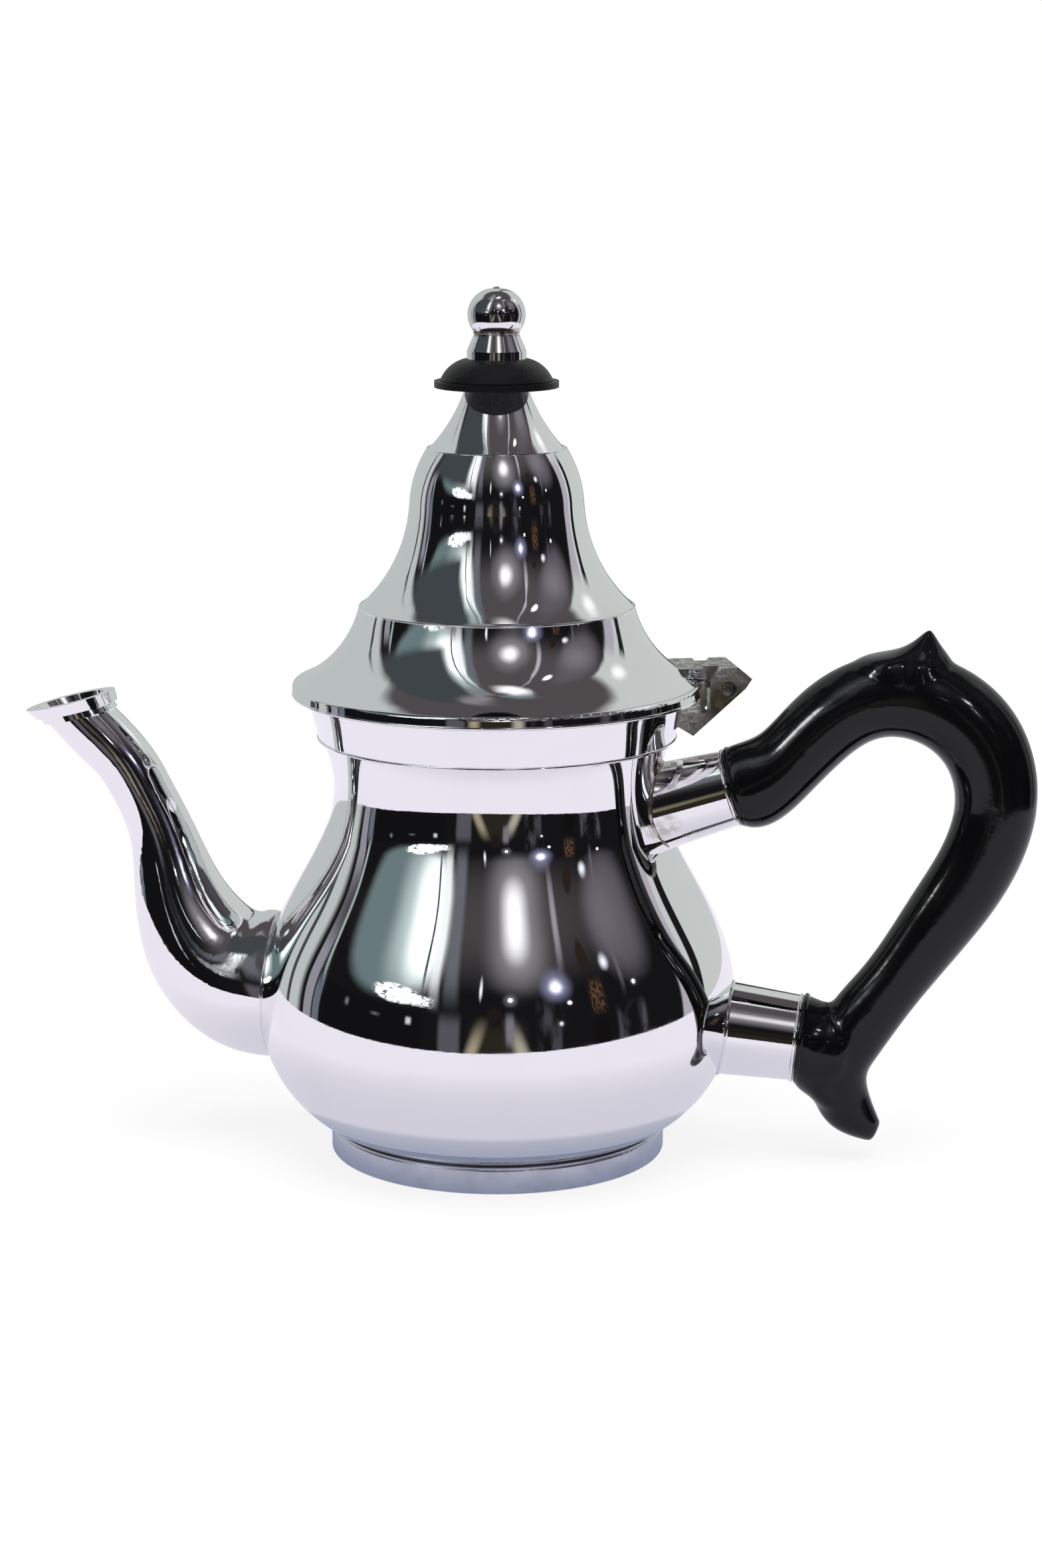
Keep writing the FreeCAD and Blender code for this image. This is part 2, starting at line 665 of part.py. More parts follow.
def grip_bow():
    """Bow of the grip, lofted from the upper socket over the hand and down to the curled tip."""
    upper = upper_socket()
    stations = [GRIP_RISER, GRIP_CROWN, GRIP_TOP, GRIP_BACK, GRIP_HEEL, GRIP_KNEE, GRIP_SHANK, GRIP_WRIST,
                GRIP_SPUR, GRIP_HOCK, GRIP_TOE, GRIP_TIP]
    end_half = upper.end_radius + GRIP_LIP
    points = [upper.end] + [beyond_belly(reach, rise) for reach, rise, _ in stations]
    path = smooth_path(points, upper.way, heading(GRIP_TIP_TILT))
    sections = [oval(upper.end, upper.way, end_half, end_half)]
    for point, (_, _, half) in zip(points[1:], stations):
        way = path.tangent(path.parameter(point))[0]
        sections.append(oval(point, way, half, half * GRIP_DEPTH_SHARE))
    return Part.makeLoft(sections, True, False)


def grip_stub():
    """Branch of the grip that reaches back to the lower socket."""
    lower = lower_socket()
    end_half = lower.end_radius + GRIP_LIP
    half_depth = lower.end_radius * GRIP_DEPTH_SHARE ** 2
    ovals = [oval(lower.end, lower.way, end_half, end_half)]
    for reach, drop, half in (STUB_WEB, STUB_ROOT):
        ovals.append(oval(lower.end + at(reach, -drop), lower.way, half, half_depth))
    return Part.makeLoft(ovals, True, False)


def grip_horn():
    """Pointed thumb rest on top of the bow, with a ridge down each flank."""
    outlines = []
    for reach, rise, half_length, half_width in (HORN_ROOT, HORN_SADDLE, HORN_CREST, HORN_PEAK, HORN_TIP):
        outlines.append(lens(beyond_belly(reach, rise), half_length, half_width))
    return Part.makeLoft(outlines, True, False)


def handle_grip():
    grip = grip_bow().fuse([grip_stub(), grip_horn(), upper_socket().tenon(), lower_socket().tenon()])
    return largest(grip.cut([upper_socket().pin(), lower_socket().pin()]))


def socket_pin(socket):
    """Pin cut off flush with the ferrule's skin."""
    slope = (socket.end_radius - socket.root_radius) / socket.length
    skin = Part.makeCone(socket.root_radius, socket.root_radius + slope * socket.length, socket.length,
                         socket.start, socket.way)
    return socket.pin().common(skin)


def bracket_foot():
    """Edge of the bracket along the collar, from the top of its web to the tip of its foot."""
    buried = NECK_TOP_RADIUS - COLLAR_WALL
    foot = PIN_Z - EAR_FOOT_DROP
    return [
        (PIN_X - EAR_FRONT, PIN_Z - WEB_DROP),
        (buried, PIN_Z - WEB_DROP),
        (buried, foot + EAR_FOOT_SLANT),
        (PIN_X - EAR_FOOT_REACH, foot),
    ]


def ear_outline():
    top = PIN_Z + HINGE_HEAD
    return bracket_foot() + [
        (PIN_X + EAR_BACK, PIN_Z + EAR_BACK_RISE),
        (PIN_X + EAR_TIP, PIN_Z + EAR_TIP_RISE),
        (PIN_X + EAR_TOP_BACK, top),
        (PIN_X - EAR_FRONT + EAR_CHAMFER, top),
        (PIN_X - EAR_FRONT, top - EAR_CHAMFER),
    ]


def round_the_pot(shape):
    """Shape turned about the pot's axis to the hinge's own place."""
    shape.rotate(at(0, 0), AXIS, HINGE_TURN)
    return shape


def hinge_bracket():
    """Two ears on a web that is soldered to the collar."""
    ear_y = (HINGE_WIDTH - EAR_THICKNESS) / 2
    ears = [plate(ear_outline(), EAR_THICKNESS, side * ear_y) for side in (-1, 1)]
    web = plate(bracket_foot(), HINGE_WIDTH)
    bracket = ears[0].fuse([ears[1], web]).removeSplitter()
    hole = Part.makeCylinder(HINGE_PIN_RADIUS, HINGE_WIDTH, at(PIN_X, PIN_Z, -HINGE_WIDTH / 2), SIDE)
    return round_the_pot(largest(bracket.cut([hole, collar_solid(), body_solid(0)])))


def hinge_pin():
    length = HINGE_WIDTH + 2 * HINGE_PIN_OVERHANG
    return round_the_pot(Part.makeCylinder(HINGE_PIN_RADIUS, length, at(PIN_X, PIN_Z, -length / 2), SIDE))


def lid_hinge_leaf():
    """Tab on the lid's rim, with a knuckle between the ears."""
    knuckle_width = HINGE_WIDTH - 2 * (EAR_THICKNESS + KNUCKLE_GAP)
    knuckle = Part.makeCylinder(KNUCKLE_RADIUS, knuckle_width, at(PIN_X, PIN_Z, -knuckle_width / 2), SIDE)
    near = PIN_X - EAR_FRONT - LEAF_GAP
    far = near - LEAF_LENGTH
    top = PIN_Z + HINGE_HEAD
    middle = (near + far) / 2
    back = PIN_X + KNUCKLE_RADIUS
    arm = plate([(middle, PIN_Z), (back, PIN_Z), (PIN_X + EAR_TOP_BACK, top), (middle, top)], knuckle_width)
    tab = plate([(far, Z_LID), (near, Z_LID), (near, top), (far, top)], HINGE_WIDTH)
    leaf = knuckle.fuse([arm, tab]).removeSplitter()
    bore = Part.makeCylinder(HINGE_PIN_RADIUS + HINGE_PIN_CLEARANCE, HINGE_WIDTH,
                             at(PIN_X, PIN_Z, -HINGE_WIDTH / 2), SIDE)
    return round_the_pot(largest(leaf.cut([bore, lid_solid(0)])))


SUB_PARTS = {
    "body_shell": body_shell,
    "foot_ring": foot_ring,
    "base_plate": base_plate,
    "neck_collar": neck_collar,
    "spout": spout,
    "spout_lip": spout_lip,
    "spout_strainer": spout_strainer,
    "upper_handle_socket": lambda: upper_socket().ferrule(),
    "lower_handle_socket": lambda: lower_socket().ferrule(),
    "handle_grip": handle_grip,
    "upper_handle_pin": lambda: socket_pin(upper_socket()),
    "lower_handle_pin": lambda: socket_pin(lower_socket()),
    "hinge_bracket": hinge_bracket,
    "hinge_pin": hinge_pin,
    "lid_shell": lid_shell,
    "lid_flange": lid_flange,
    "lid_hinge_leaf": lid_hinge_leaf,
    "finial_disc": finial_disc,
    "finial_knob": finial_knob,
    "finial_stud": finial_stud,
    "finial_washer": finial_washer,
    "finial_nut": finial_nut,
}

os.makedirs("parts", exist_ok=True)
for name, build in SUB_PARTS.items():
    shape = build()
    box = shape.optimalBoundingBox()
    spans = f"{box.XLength:.1f} x {box.YLength:.1f} x {box.ZLength:.1f}"
    print(f"{name}: {len(shape.Solids)} solid, valid {shape.isValid()}, {shape.Volume:.1f} mm3, {spans} mm")
    shape.exportStep(f"parts/{name}.step")
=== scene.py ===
"""Chrome-plated tea pot with a hinged bell lid: finishes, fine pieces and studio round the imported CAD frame.

The pot stands on z = 0 around the Z axis, with its spout towards -X and its handle towards +X. Lengths are
metres, unless they are written as a number of millimetres times MM.
"""

from __future__ import annotations

import json
import logging
from dataclasses import dataclass
from enum import Enum
from functools import reduce
from math import asin, atan2, cos, degrees, dist, pi, radians, sin, tau
from typing import Sequence

import bpy
from mathutils import Matrix, Vector
from mathutils.bvhtree import BVHTree

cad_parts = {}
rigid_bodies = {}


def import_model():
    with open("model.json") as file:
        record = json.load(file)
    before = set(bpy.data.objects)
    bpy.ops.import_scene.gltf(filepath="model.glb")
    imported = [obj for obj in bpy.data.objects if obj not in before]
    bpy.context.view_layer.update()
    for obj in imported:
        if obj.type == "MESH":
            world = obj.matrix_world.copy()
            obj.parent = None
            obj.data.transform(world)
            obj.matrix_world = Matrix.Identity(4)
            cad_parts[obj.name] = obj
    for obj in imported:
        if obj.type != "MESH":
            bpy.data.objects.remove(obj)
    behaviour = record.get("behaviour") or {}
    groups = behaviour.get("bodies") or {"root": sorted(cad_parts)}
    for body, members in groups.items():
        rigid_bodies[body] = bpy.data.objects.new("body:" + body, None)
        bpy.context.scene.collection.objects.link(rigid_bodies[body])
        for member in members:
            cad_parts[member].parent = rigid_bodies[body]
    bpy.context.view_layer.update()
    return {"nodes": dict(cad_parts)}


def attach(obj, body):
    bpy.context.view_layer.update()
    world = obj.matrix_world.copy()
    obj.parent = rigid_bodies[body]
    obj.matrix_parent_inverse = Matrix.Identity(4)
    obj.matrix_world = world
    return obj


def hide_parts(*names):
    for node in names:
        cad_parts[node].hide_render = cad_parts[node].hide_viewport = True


Colour = tuple[float, float, float]
Point = tuple[float, float, float]
Spot = tuple[float, float]
Ring = tuple[float, float, float]
Face = tuple[int, ...]
Thing = bpy.types.Object

LOG = logging.getLogger("tea_pot")
MM = 0.001
WHITE: Colour = (1.0, 1.0, 1.0)
SMUDGE_GREY: Colour = (0.70, 0.70, 0.74)

# Marks per metre of the finishes' noises.
SMUDGES, SPECKS, HAIRLINES, DENTS, TOOL_RINGS, TARNISH_SPOTS = 46.0, 900.0, 5200.0, 62.0, 720.0, 520.0
CLOUDS, CAST_LUMPS, FILE_MARKS, HANDLING, DUST = 170.0, 520.0, 2400.0, 38.0, 2600.0

# Waves round a solder bead, each as its count, its size and its share of the bead's seed.
WAVES = ((5.0, 1.0, 1.0), (11.0, 0.7, 2.3), (23.0, 0.5, 0.0))
SEED_PER_METRE = 9000.0
CONTACT = 0.06 * MM
CARD_STEP = 3.0

# Points round a turned skin, round a bead and along a solder seam.
LATHE_STEPS, BEAD_SIDES, SEAM_STEPS = 240, 12, 72


class Slot(Enum):
    """Material slots of the record."""

    CHROME = "chrome"
    FOOT_METAL = "foot_metal"
    CAST_HINGE = "cast_hinge"
    STEEL = "steel"
    BLACK_HANDLE = "black_handle"
    BLACK_DISC = "black_disc"


class Body(Enum):
    """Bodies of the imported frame."""

    POT = "pot"
    LID = "lid"


class PatchForm(Enum):
    """Outlines of the light patches in the room."""

    PANEL = "panel"
    ROUND = "round"
    RISING = "rising"


@dataclass(frozen=True)
class Shade:
    """Output socket of a graph, which takes part in sums and products."""

    graph: Graph
    socket: bpy.types.NodeSocket | None

    def _with(self, operation: str, first: Value, second: Value) -> Shade:
        """Result of a Math node."""
        return self.graph.add("ShaderNodeMath", {"operation": operation}, {0: first, 1: second})

    def __add__(self, other: Value) -> Shade:
        """This value plus another."""
        return self._with("ADD", self, other)

    def __radd__(self, other: Value) -> Shade:
        """Another value plus this one."""
        return self._with("ADD", other, self)

    def __sub__(self, other: Value) -> Shade:
        """This value less another."""
        return self._with("SUBTRACT", self, other)

    def __rsub__(self, other: Value) -> Shade:
        """Another value less this one."""
        return self._with("SUBTRACT", other, self)

    def __mul__(self, other: Value) -> Shade:
        """This value times another."""
        return self._with("MULTIPLY", self, other)

    def __rmul__(self, other: Value) -> Shade:
        """Another value times this one."""
        return self._with("MULTIPLY", other, self)

    def __abs__(self) -> Shade:
        """Size of this value without its sign."""
        return self._with("ABSOLUTE", self, 0.0)

    def least(self, other: Value) -> Shade:
        """Smaller of this value and another."""
        return self._with("MINIMUM", self, other)

    def most(self, other: Value) -> Shade:
        """Larger of this value and another."""
        return self._with("MAXIMUM", self, other)

    def ramp(self, low: float, high: float, start: float = 0.0, end: float = 1.0) -> Shade:
        """Smooth step of this value.

        Args:
            low: Value at which the step starts.
            high: Value at which the step ends.
            start: Result up to low.
            end: Result from high on.

        Returns:
            The stepped value.
        """
        settings = {"interpolation_type": "SMOOTHSTEP"}
        return self.graph.add("ShaderNodeMapRange", settings, {0: self, 1: low, 2: high, 3: start, 4: end})


Value = Shade | float | tuple | Vector | Thing


class Graph:
    """Node tree of a material, of the world or of a modifier."""

    def __init__(self, tree: bpy.types.NodeTree) -> None:
        """Empties a node tree and takes it over."""
        self.tree = tree
        tree.nodes.clear()

    def add(
        self, kind: str, settings: dict[str, object] | None = None,
        inputs: dict[int | str, Value] | None = None, output: int | str = 0,
    ) -> Shade:
        """Adds any node.

        Args:
            kind: Type of the node.
            settings: Properties of the node, set before its sockets.
            inputs: Values or links of its sockets, by name or place.
            output: Socket that is handed back.

        Returns:
            The chosen output, which is empty for a node that ends the tree.
        """
        node = self.tree.nodes.new(kind)
        for key, value in (settings or {}).items():
            setattr(node, key, value)
        for key, value in (inputs or {}).items():
            if isinstance(value, Shade):
                self.tree.links.new(value.socket, node.inputs[key])
            else:
                node.inputs[key].default_value = value
        return Shade(self, node.outputs[output] if len(node.outputs) else None)

    def place(self) -> Shade:
        """Place on the object, in metres, before anything moves."""
        return self.add("ShaderNodeTexCoord", output="Object")

    def axis(self, place: Shade, name: str) -> Shade:
        """One coordinate of a place, named X, Y or Z."""
        return self.add("ShaderNodeSeparateXYZ", None, {0: place}, name)

    def stretch(self, place: Shade, scale: Point) -> Shade:
        """Place with each coordinate multiplied by its own scale."""
        return self.add("ShaderNodeVectorMath", {"operation": "MULTIPLY"}, {0: place, 1: scale})

    def distance(self, place: Shade, centre: Point = (0.0, 0.0, 0.0)) -> Shade:
        """Distance of a place from a fixed centre."""
        return self.add("ShaderNodeVectorMath", {"operation": "DISTANCE"}, {0: place, 1: centre}, "Value")

    def noise(self, place: Shade, scale: float, detail: float = 2.0, distortion: float = 0.0) -> Shade:
        """Cloudy noise between 0 and 1, with its scale in clouds per metre."""
        inputs = {"Vector": place, "Scale": scale, "Detail": detail, "Distortion": distortion}
        return self.add("ShaderNodeTexNoise", None, inputs)

    def turned(self, place: Shade, draw: float, scale: float, detail: float = 2.0) -> Shade:
        """Noise that is drawn out round the axis, to the given share of its scale there."""
        return self.noise(self.stretch(place, (draw, draw, 1.0)), scale, detail)

    def tint(self, share: Value, first: Value, second: Value) -> Shade:
        """Colour between two colours."""
        inputs = {0: share, 6: self._rgba(first), 7: self._rgba(second)}
        return self.add("ShaderNodeMix", {"data_type": "RGBA"}, inputs, 2)

    def bump(self, height: Shade, depth: float, under: Shade | None = None) -> Shade:
        """Normal tilted by a height field of the given depth, from the one under it or the surface's own."""
        normal = {} if under is None else {"Normal": under}
        return self.add("ShaderNodeBump", None, {"Strength": 1.0, "Distance": depth, "Height": height, **normal})

    def principled(self, inputs: dict[int | str, Value]) -> Shade:
        """Principled surface with the given inputs."""
        return self.add("ShaderNodeBsdfPrincipled", None, inputs)

    def glow(self, colour: Value, strength: float = 1.0) -> Shade:
        """Surface that gives off light."""
        return self.add("ShaderNodeEmission", None, {"Color": self._rgba(colour), "Strength": strength})

    def mixed(self, share: Value, first: Shade, second: Shade) -> Shade:
        """Surface between two surfaces."""
        return self.add("ShaderNodeMixShader", None, {0: share, 1: first, 2: second})

    def seen(self) -> Shade:
        """1 for what the camera sees directly, and 0 in reflections."""
        return self.add("ShaderNodeLightPath", output="Is Camera Ray")

    def surface(self, shader: Shade, kind: str = "ShaderNodeOutputMaterial") -> None:
        """Ends the tree with the given shader as its surface."""
        self.add(kind, None, {"Surface": shader})

    @staticmethod
    def _rgba(value: Value) -> Value:
        """Colour with its alpha, where it isn't a link."""
        return (*value, 1.0) if isinstance(value, tuple) else value


def new_material(name: str) -> bpy.types.Material:
    """Makes a material.

    Args:
        name: Name of the material.

    Returns:
        The material, with a node tree.
    """
    material = bpy.data.materials.new(name)
    material.use_nodes = True
    return material


@dataclass(frozen=True)
class Stain:
    """Patch of tarnish that keeps its strength in its core and has faded away at its reach.

    A ring runs right round the axis at its centre's height.
    """

    centre: Point
    reach: float
    strength: float = 1.0
    ring: bool = False
    core: float = 0.35

    def share(self, graph: Graph, place: Shade) -> Shade:
        """Strength of the stain at a place of the metal."""
        away = abs(graph.axis(place, "Z") - self.centre[2]) if self.ring else graph.distance(place, self.centre)
        return away.ramp(self.core * self.reach, self.reach, self.strength, 0.0)


@dataclass(frozen=True)
class Finish:
    """Finish that one material is made from, for a slot of the record."""

    name: str
    slot: Slot

    def shader(self, graph: Graph) -> Shade:
        """Builds the finish's surface in a node tree."""
        raise NotImplementedError

    def material(self) -> bpy.types.Material:
        """Makes the material once.

        Returns:
            The new material, or the one already made.
        """
        made = bpy.data.materials.get(self.name)
        if made is None:
            made = new_material(self.name)
            graph = Graph(made.node_tree)
            graph.surface(self.shader(graph))
            LOG.info("finish %s", self.name)
        return made


@dataclass(frozen=True)
class Plating(Finish):
    """Mirror plating over spun metal, tarnished in some places.

    Smudges add haze to the polish. Spinning leaves waves, hairlines (grain) and wider rings of the given depths.
    """

    colour: Colour = (0.90, 0.90, 0.91)
    polish: float = 0.025
    haze: float = 0.05
    wave: float = 0.035 * MM
    grain: float = 0.0009 * MM
    rings: float = 0.0
    stains: tuple[Stain, ...] = ()
    tarnish: Colour = (0.20, 0.135, 0.075)

    def shader(self, graph: Graph) -> Shade:
        """Builds the plating.

        Args:
            graph: Node tree that takes it.

        Returns:
            The surface.
        """
        place = graph.place()
        smudge = graph.noise(place, SMUDGES, 4.0, 0.6).ramp(0.50, 0.74)
        speck = graph.noise(place, SPECKS).ramp(0.62, 0.78)
        colour = graph.tint(smudge * 0.10, self.colour, SMUDGE_GREY)
        rough = smudge * self.haze + speck * 0.02 + self.polish
        if self.stains:
            stained = self._stained(graph, place)
            colour = graph.tint(stained, colour, self.tarnish)
            rough = stained * 0.22 + rough
        normal = graph.bump(graph.noise(place, DENTS, 1.0), self.wave)
        normal = graph.bump(graph.turned(place, 0.12, HAIRLINES, 1.0), self.grain, normal)
        if self.rings > 0:
            normal = graph.bump(graph.turned(place, 0.05, TOOL_RINGS), self.rings, normal)
        return graph.principled({"Base Color": colour, "Metallic": 1.0, "Roughness": rough, "Normal": normal})

    def _stained(self, graph: Graph, place: Shade) -> Shade:
        """Share of tarnish at a place of the metal."""
        worst = reduce(Shade.most, [stain.share(graph, place) for stain in self.stains])
        return worst * graph.noise(place, TARNISH_SPOTS, 3.0, 0.4).ramp(0.30, 0.68)


@dataclass(frozen=True)
class TurnedMetal(Finish):
    """Bare metal turned on a lathe, with so many rings per metre of height and with darker clouds."""

    colour: Colour = (0.62, 0.63, 0.65)
    rough: float = 0.30
    rings: float = 2600.0
    depth: float = 0.004 * MM
    clouding: float = 0.35

    def shader(self, graph: Graph) -> Shade:
        """Builds the turned metal.

        Args:
            graph: Node tree that takes it.

        Returns:
            The surface.
        """
        place = graph.place()
        marks = graph.turned(place, 0.08, self.rings)
        cloud = graph.noise(place, CLOUDS, 4.0, 0.3).ramp(0.38, 0.72)
        dark = tuple(0.62 * part for part in self.colour)
        return graph.principled({
            "Base Color": graph.tint(cloud * self.clouding, self.colour, dark), "Metallic": 1.0,
            "Roughness": cloud * 0.10 + marks * 0.08 + (self.rough - 0.06),
            "Normal": graph.bump(marks, self.depth),
        })


@dataclass(frozen=True)
class CastMetal(Finish):
    """Rough cast and filed metal with grime in its hollows, tarnished in some places."""

    colour: Colour = (0.76, 0.75, 0.71)
    hollow: Colour = (0.30, 0.27, 0.20)
    rough: float = 0.30
    depth: float = 0.10 * MM
    stains: tuple[Stain, ...] = ()
    tarnish: Colour = (0.17, 0.145, 0.075)

    def shader(self, graph: Graph) -> Shade:
        """Builds the cast metal.

        Args:
            graph: Node tree that takes it.

        Returns:
            The surface.
        """
        place = graph.place()
        cast = graph.noise(place, CAST_LUMPS, 4.0, 0.5)
        files = graph.noise(graph.stretch(place, (1.0, 1.0, 0.18)), FILE_MARKS)
        grime = cast.ramp(0.36, 0.62, 0.8, 0.0)
        tone = graph.tint(grime, self.colour, self.hollow)
        for stain in self.stains:
            tone = graph.tint(stain.share(graph, place) * cast.ramp(0.30, 0.50, 0.45, 1.0), tone, self.tarnish)
        return graph.principled({
            "Base Color": tone, "Metallic": 1.0, "Roughness": grime * 0.22 + self.rough,
            "Normal": graph.bump(cast + files * 0.25, self.depth),
        })


@dataclass(frozen=True)
class Moulding(Finish):
    """Black moulded resin, worn where it is handled, with peel_scale hollows per metre in its skin."""

    colour: Colour = (0.0022, 0.0022, 0.0026)
    rough: float = 0.09
    wear: float = 0.07
    peel: float = 0.03 * MM
    peel_scale: float = 420.0
    gloss: float = 0.30
    dusting: float = 0.010

    def shader(self, graph: Graph) -> Shade:
        """Builds the resin.

        Args:
            graph: Node tree that takes it.

        Returns:
            The surface.
        """
        place = graph.place()
        hand = graph.noise(place, HANDLING, 3.0, 0.4).ramp(0.42, 0.70)
        dust = graph.noise(place, DUST, 1.0).ramp(0.70, 0.80)
        pale = tuple(part + self.dusting for part in self.colour)
        return graph.principled({
            "Base Color": graph.tint(dust * 0.5, self.colour, pale),
            "Roughness": hand * self.wear + dust * 0.10 + self.rough,
            "Specular IOR Level": self.gloss,
            "Normal": graph.bump(graph.noise(place, self.peel_scale), self.peel),
        })


CHROME = Plating("mirror_chrome", Slot.CHROME)
LID_CHROME = Plating("spun_lid_chrome", Slot.CHROME, rings=0.0022 * MM)
SOCKET_CHROME = Plating(
    "socket_chrome", Slot.CHROME,
    stains=(Stain((0.0390, -0.004, 0.0905), 8.5 * MM, 0.55), Stain((0.0400, -0.009, 0.0800), 4.5 * MM, 0.45)),
)
KNOB_CHROME = Plating(
    "knob_chrome", Slot.CHROME, (0.86, 0.86, 0.87), 0.06, rings=0.004 * MM,
    stains=(Stain((0.0, 0.0, 0.1903), 1.3 * MM, 1.0, True),), tarnish=(0.16, 0.085, 0.035),
)
SOLDER = Plating("plated_solder", Slot.CHROME, (0.80, 0.79, 0.83), 0.10, 0.12, 0.12 * MM, 0.002 * MM)
BURNT_SOLDER = Plating(
    "burnt_solder", Slot.CHROME, (0.66, 0.63, 0.58), 0.16, 0.16, 0.12 * MM, 0.002 * MM,
    stains=(Stain((0.040, -0.004, 0.086), 22.0 * MM, 0.85),), tarnish=(0.14, 0.10, 0.05),
)
FOOT_SATIN = TurnedMetal("foot_satin", Slot.FOOT_METAL, (0.62, 0.645, 0.715), 0.30, 1500.0, 0.003 * MM, 0.25)
HINGE_CAST = CastMetal("hinge_cast", Slot.CAST_HINGE, stains=(Stain((0.0515, 0.0078, 0.1055), 7.5 * MM, 0.95),))
PIN_STEEL = TurnedMetal("pin_steel", Slot.STEEL)
PIN_DARK = TurnedMetal("pin_dark", Slot.STEEL, (0.20, 0.18, 0.16), 0.38, 2600.0, 0.01 * MM, 0.6)
HANDLE_BLACK = Moulding("handle_black", Slot.BLACK_HANDLE)
DISC_BLACK = Moulding("disc_black", Slot.BLACK_DISC, (0.004, 0.0038, 0.0045), 0.40, 0.10, 0.10 * MM, 1700.0, 0.25)


def new_object(name: str, points: Sequence[Vector], faces: Sequence[Face]) -> Thing:
    """Makes a smooth-shaded object.

    Args:
        name: Name of the object.
        points: Its points.
        faces: Its faces, as numbers of points.

    Returns:
        The object, linked into the scene.
    """
    mesh = bpy.data.meshes.new(name)
    mesh.from_pydata([tuple(point) for point in points], [], faces)
    mesh.validate()
    mesh.shade_smooth()
    thing = bpy.data.objects.new(name, mesh)
    bpy.context.scene.collection.objects.link(thing)
    return thing


def grid_faces(rows: int, columns: int, closed: tuple[bool, bool], flip: bool = False) -> list[Face]:
    """Faces between neighbouring rows and columns of points.

    Args:
        rows: Number of rows.
        columns: Number of points in a row.
        closed: Whether the last row meets the first one, and the last column the first one.
        flip: Whether the faces are turned over.

    Returns:
        The faces, row after row.
    """
    faces: list[Face] = []
    for row in range(rows if closed[0] else rows - 1):
        low, high = row * columns, (row + 1) % rows * columns
        for column in range(columns if closed[1] else columns - 1):
            following = (column + 1) % columns
            face = (low + column, low + following, high + following, high + column)
            faces.append(face[:1] + face[:0:-1] if flip else face)
    return faces


def wear(thing: Thing, finish: Finish) -> None:
    """Puts one finish on the whole of an object."""
    thing.data.materials.clear()
    thing.data.materials.append(finish.material())


def settle(thing: Thing, body: Body, finish: Finish) -> None:
    """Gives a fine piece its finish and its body.

    Args:
        thing: The piece.
        body: Body that it rides on.
        finish: Finish that it wears.
    """
    wear(thing, finish)
    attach(thing, body.value)
    LOG.info("piece %s on %s", thing.name, body.value)


def lumps(angle: float, depth: float, seed: float) -> float:
    """Uneven swelling at an angle round a closed seam, as a factor near 1."""
    wobble = sum(size * sin(count * angle + lag * seed) for count, size, lag in WAVES)
    return 1.0 + depth * wobble / sum(size for _, size, _ in WAVES)


def turns(count: int) -> list[float]:
    """Angles of so many equal steps round a circle."""
    return [tau * i / count for i in range(count)]


def square_to(way: Vector) -> tuple[Vector, Vector]:
    """Two directions that are square to a direction and to each other."""
    first = way.orthogonal().normalized()
    return first, way.cross(first).normalized()


def tube(name: str, path: Sequence[Vector], centre: Vector, minor: float, swell: float = 0.0) -> Thing:
    """Makes a closed round bead along a closed path.

    Args:
        name: Name of the piece.
        path: Points of the closed path, in order.
        centre: Point inside the path that it runs round.
        minor: Radius of the bead.
        swell: Share by which the bead swells and thins along its way.

    Returns:
        The bead.
    """
    count = len(path)
    points: list[Vector] = []
    for i, spot in enumerate(path):
        way = (path[(i + 1) % count] - path[i - 1]).normalized()
        out = spot - centre
        out = (out - way * out.dot(way)).normalized()
        side = way.cross(out)
        size = minor * lumps(tau * i / count, swell, minor * SEED_PER_METRE)
        points += [spot + (out * cos(turn) + side * sin(turn)) * size for turn in turns(BEAD_SIDES)]
    return new_object(name, points, grid_faces(count, BEAD_SIDES, (True, True), True))


def arc(centre: Spot, radius: float, start: float, stop: float, count: int) -> list[Spot]:
    """Points of a bow in an outline.

    Args:
        centre: Radius and height of the bow's centre.
        radius: Bow radius, negative where the outline is hollow.
        start: Degrees of the first point.
        stop: Degrees of the last point.
        count: Number of steps.

    Returns:
        The points, each as radius and height.
    """
    bends = [radians(start + (stop - start) * i / count) for i in range(count + 1)]
    return [(centre[0] + radius * cos(bend), centre[1] + radius * sin(bend)) for bend in bends]


def ogee(start: Spot, stop: Spot, lean: float, count: int) -> list[Spot]:
    """Points of a gentle double bend in an outline, which leans equally at both ends.

    Args:
        start: Radius and height of the first point.
        stop: Radius and height of the last point.
        lean: Degrees that the outline leans inwards at its ends.
        count: Number of steps.

    Returns:
        The points, each as radius and height.
    """
    length = dist(start, stop)
    way = (-sin(radians(lean)) * length, cos(radians(lean)) * length)
    points = []
    for i in range(count + 1):
        t = i / count
        last = t * t * (3 - 2 * t)
        pull = t * (1 - t) * (1 - 2 * t)
        points.append(tuple(a * (1 - last) + b * last + w * pull for a, b, w in zip(start, stop, way)))
    return points


def lathe(name: str, outline: Sequence[Spot]) -> Thing:
    """Turns a closed outline round the pot's axis.

    Args:
        name: Name of the piece.
        outline: Points of the outline, each as radius and height.

    Returns:
        The turned piece.
    """
    points: list[Vector] = []
    for turn in turns(LATHE_STEPS):
        points += [Vector((radius * cos(turn), radius * sin(turn), height)) for radius, height in outline]
    return new_object(name, points, grid_faces(LATHE_STEPS, len(outline), (True, True), True))


def circle(centre: Vector, way: Vector, radius: float, count: int = 96) -> list[Vector]:
    """Points of a circle that is square to a direction."""
    first, second = square_to(way)
    return [centre + (first * cos(turn) + second * sin(turn)) * radius for turn in turns(count)]


